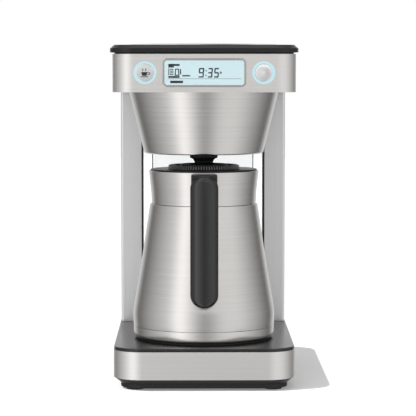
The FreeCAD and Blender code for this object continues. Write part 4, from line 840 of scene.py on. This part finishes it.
def cup_sign():
    """The cup is a tapered block. The bars are its handle, the steam and the saucer."""
    shape = bmesh.new()
    cup = bmesh.ops.create_cube(shape, size=1)["verts"]
    bmesh.ops.scale(shape, vec=(6.4 * MM, INK, 3.6 * MM), verts=cup)
    bmesh.ops.scale(shape, vec=(0.62, 1, 1), verts=[v for v in cup if v.co.z < 0])
    bmesh.ops.translate(shape, vec=(-0.4 * MM, 0, -1.2 * MM), verts=cup)
    for left, low, wide, high in ((3.0, -0.4, 1.9, 0.7), (4.3, -1.7, 0.7, 1.6), (2.7, -2.0, 1.8, 0.7),
                                  (-2.3, 1.6, 0.8, 2.3), (0.5, 1.6, 0.8, 2.3), (-3.9, -4.2, 7.0, 0.7)):
        bar = bmesh.ops.create_cube(shape, size=1)["verts"]
        bmesh.ops.scale(shape, vec=(wide * MM, INK, high * MM), verts=bar)
        bmesh.ops.translate(shape, vec=((left + wide / 2) * MM, 0, (low + high / 2) * MM), verts=bar)
    bmesh.ops.scale(shape, vec=(SIGN_SCALE, 1, SIGN_SCALE), verts=shape.verts)
    bmesh.ops.translate(shape, vec=(CENTRE.x, FACE - 0.04 * MM, CENTRE.z), verts=shape.verts)
    return shape


piece("cup_sign", cup_sign(), segment_black, "brew_button")

# %% [markdown]
# ## The floor
# The floor is a wide pale sheet. It gives off a little light of its own, so that it stays white right up to
# the machine, and only the base's own shadow darkens it.

# %% Floor
FLOOR_HALF = 6.0
floor_shape = bmesh.new()
bmesh.ops.create_grid(floor_shape, x_segments=1, y_segments=1, size=FLOOR_HALF)
floor_mesh = bpy.data.meshes.new("floor")
floor_shape.to_mesh(floor_mesh)
floor_shape.free()
floor = bpy.data.objects.new("floor", floor_mesh)
scene.collection.objects.link(floor)

pale = bpy.data.materials.new("pale_floor")
pale.use_nodes = True
pale_shader = pale.node_tree.nodes["Principled BSDF"]
pale_shader.inputs["Base Color"].default_value = (0.5, 0.5, 0.5, 1)
pale_shader.inputs["Roughness"].default_value = 0.9
pale_shader.inputs["Specular IOR Level"].default_value = 0.0
pale_shader.inputs["Emission Color"].default_value = (1, 1, 1, 1)
pale_shader.inputs["Emission Strength"].default_value = 0.22

# Reflections look through the floor to the studio beyond, so the steel keeps its upright streaks.
pale_tree = pale.node_tree
ray = pale_tree.nodes.new("ShaderNodeLightPath")
open_air = pale_tree.nodes.new("ShaderNodeBsdfTransparent")
either = pale_tree.nodes.new("ShaderNodeMixShader")
pale_tree.links.new(ray.outputs["Is Glossy Ray"], either.inputs[0])
pale_tree.links.new(pale_shader.outputs[0], either.inputs[1])
pale_tree.links.new(open_air.outputs[0], either.inputs[2])
pale_tree.links.new(either.outputs[0], pale_tree.nodes["Material Output"].inputs["Surface"])
floor_mesh.materials.append(pale)

# %% [markdown]
# ## The camera
# The machine is seen from the front, from a little above, through a long lens, so that upright edges stay
# nearly parallel.

# %% Camera
lens = bpy.data.cameras.new("camera")
lens.sensor_width = 36
lens.lens = 173.08  # mm
camera = bpy.data.objects.new("camera", lens)
camera.location = (-0.0166, -2.5845, 0.393)
camera.rotation_euler = (math.radians(90 - 4.05), 0, math.radians(-0.5))
scene.collection.objects.link(camera)
scene.camera = camera
print("camera lens %.1f mm" % lens.lens)

# %% [markdown]
# ## The studio
# Brushed steel shows the room: its look is mostly reflections. A studio for such a product has tall white
# panels at the left and right and dark gaps between them, which draw the bright and dark uprights on the cone
# and the carafe. The world does this: its brightness follows the compass direction, through a colour ramp.
# What the camera sees directly, or through the clear tank, stays plain white.

# %% World
PANELS = [
    (-180, 1.0), (-150, 0.9),  # the white backdrop behind the machine
    (-135, 0.1), (-100, 0.5),  # a black flag, then the dim left wall
    (-60, 0.9), (-40, 1.8), (-20, 1.0),  # the strip light on the left
    (0, 0.35),  # the dark gap where the camera stands
    (30, 1.0), (60, 1.0),  # the wide soft box on the right
    (100, 0.5), (135, 0.1),  # the dim right wall and its flag
    (150, 0.9), (180, 1.0),  # the backdrop again
]


def build_world():
    """A ramp round the compass for reflections, and white for what is seen straight on."""
    world = bpy.data.worlds.new("studio")
    world.use_nodes = True
    tree = world.node_tree
    tree.nodes.clear()
    link = tree.links.new
    place = tree.nodes.new("ShaderNodeTexCoord")
    parts = tree.nodes.new("ShaderNodeSeparateXYZ")
    link(place.outputs["Generated"], parts.inputs[0])
    ahead = tree.nodes.new("ShaderNodeMath")
    ahead.operation = "MULTIPLY"
    ahead.inputs[1].default_value = -1
    link(parts.outputs["Y"], ahead.inputs[0])
    compass = tree.nodes.new("ShaderNodeMath")
    compass.operation = "ARCTAN2"
    link(parts.outputs["X"], compass.inputs[0])
    link(ahead.outputs[0], compass.inputs[1])
    share = tree.nodes.new("ShaderNodeMapRange")
    share.inputs["From Min"].default_value = -math.pi
    share.inputs["From Max"].default_value = math.pi
    link(compass.outputs[0], share.inputs["Value"])
    ramp = tree.nodes.new("ShaderNodeValToRGB").color_ramp
    while len(ramp.elements) < len(PANELS):
        ramp.elements.new(0.5)
    for stop, (degrees, level) in zip(ramp.elements, PANELS):
        stop.position = (degrees + 180) / 360
        stop.color = (level / 2, level / 2, level / 2, 1)
    ramp_node = tree.nodes["Color Ramp"]
    link(share.outputs["Result"], ramp_node.inputs[0])
    seen = tree.nodes.new("ShaderNodeLightPath")
    level = tree.nodes.new("ShaderNodeMix")
    level.data_type = "RGBA"
    level.inputs[7].default_value = (0.5, 0.5, 0.5, 1)
    straight = tree.nodes.new("ShaderNodeMath")
    straight.operation = "MAXIMUM"
    link(seen.outputs["Is Camera Ray"], straight.inputs[0])
    link(seen.outputs["Is Transmission Ray"], straight.inputs[1])
    link(straight.outputs[0], level.inputs[0])
    link(ramp_node.outputs["Color"], level.inputs[6])
    glow = tree.nodes.new("ShaderNodeBackground")
    glow.inputs["Strength"].default_value = 2.0
    link(level.outputs[2], glow.inputs["Color"])
    ends = tree.nodes.new("ShaderNodeOutputWorld")
    link(glow.outputs[0], ends.inputs["Surface"])
    scene.world = world


build_world()

# %% [markdown]
# ## The lamps
# Two soft lamps help the world: a wide one overhead and a weak one near the camera that lifts the black
# parts. A hard lamp from the front left draws the base's shadow. It lights only the floor, and only the base
# stands in its way, because a real studio would flag the rest off.

# %% Lamps
SUN_WAY = Vector((0.46, 0.20, -0.52))


def soft_lamp(name, place, towards, size, power):
    """A rectangular lamp that points at a place."""
    data = bpy.data.lights.new(name, "AREA")
    data.shape = "RECTANGLE"
    data.size, data.size_y = size
    data.energy = power
    lamp = bpy.data.objects.new(name, data)
    lamp.location = place
    lamp.rotation_euler = (Vector(towards) - Vector(place)).to_track_quat("-Z", "Y").to_euler()
    lamp.visible_camera = False
    scene.collection.objects.link(lamp)
    return lamp


soft_lamp("overhead", (0, -0.2, 2.2), (0, 0, 0), (2.4, 1.6), 9)
soft_lamp("front_fill", (0.3, -2.8, 1.2), (0, 0, 0.2), (1.4, 1.0), 4)
sun = bpy.data.lights.new("shadow_lamp", "SUN")
sun.energy = 5.2
sun.angle = math.radians(1.5)
shadow_lamp = bpy.data.objects.new("shadow_lamp", sun)
shadow_lamp.rotation_euler = SUN_WAY.to_track_quat("-Z", "Y").to_euler()
scene.collection.objects.link(shadow_lamp)

# %% What the hard lamp lights and what shades it
lit_only = bpy.data.collections.new("lit_by_shadow_lamp")
lit_only.objects.link(floor)
shades = bpy.data.collections.new("shades_shadow_lamp")
for thing in scene.collection.all_objects:
    if thing.name.startswith("base_") and thing.type == "MESH":
        shades.objects.link(thing)
shadow_lamp.light_linking.receiver_collection = lit_only
shadow_lamp.light_linking.blocker_collection = shades
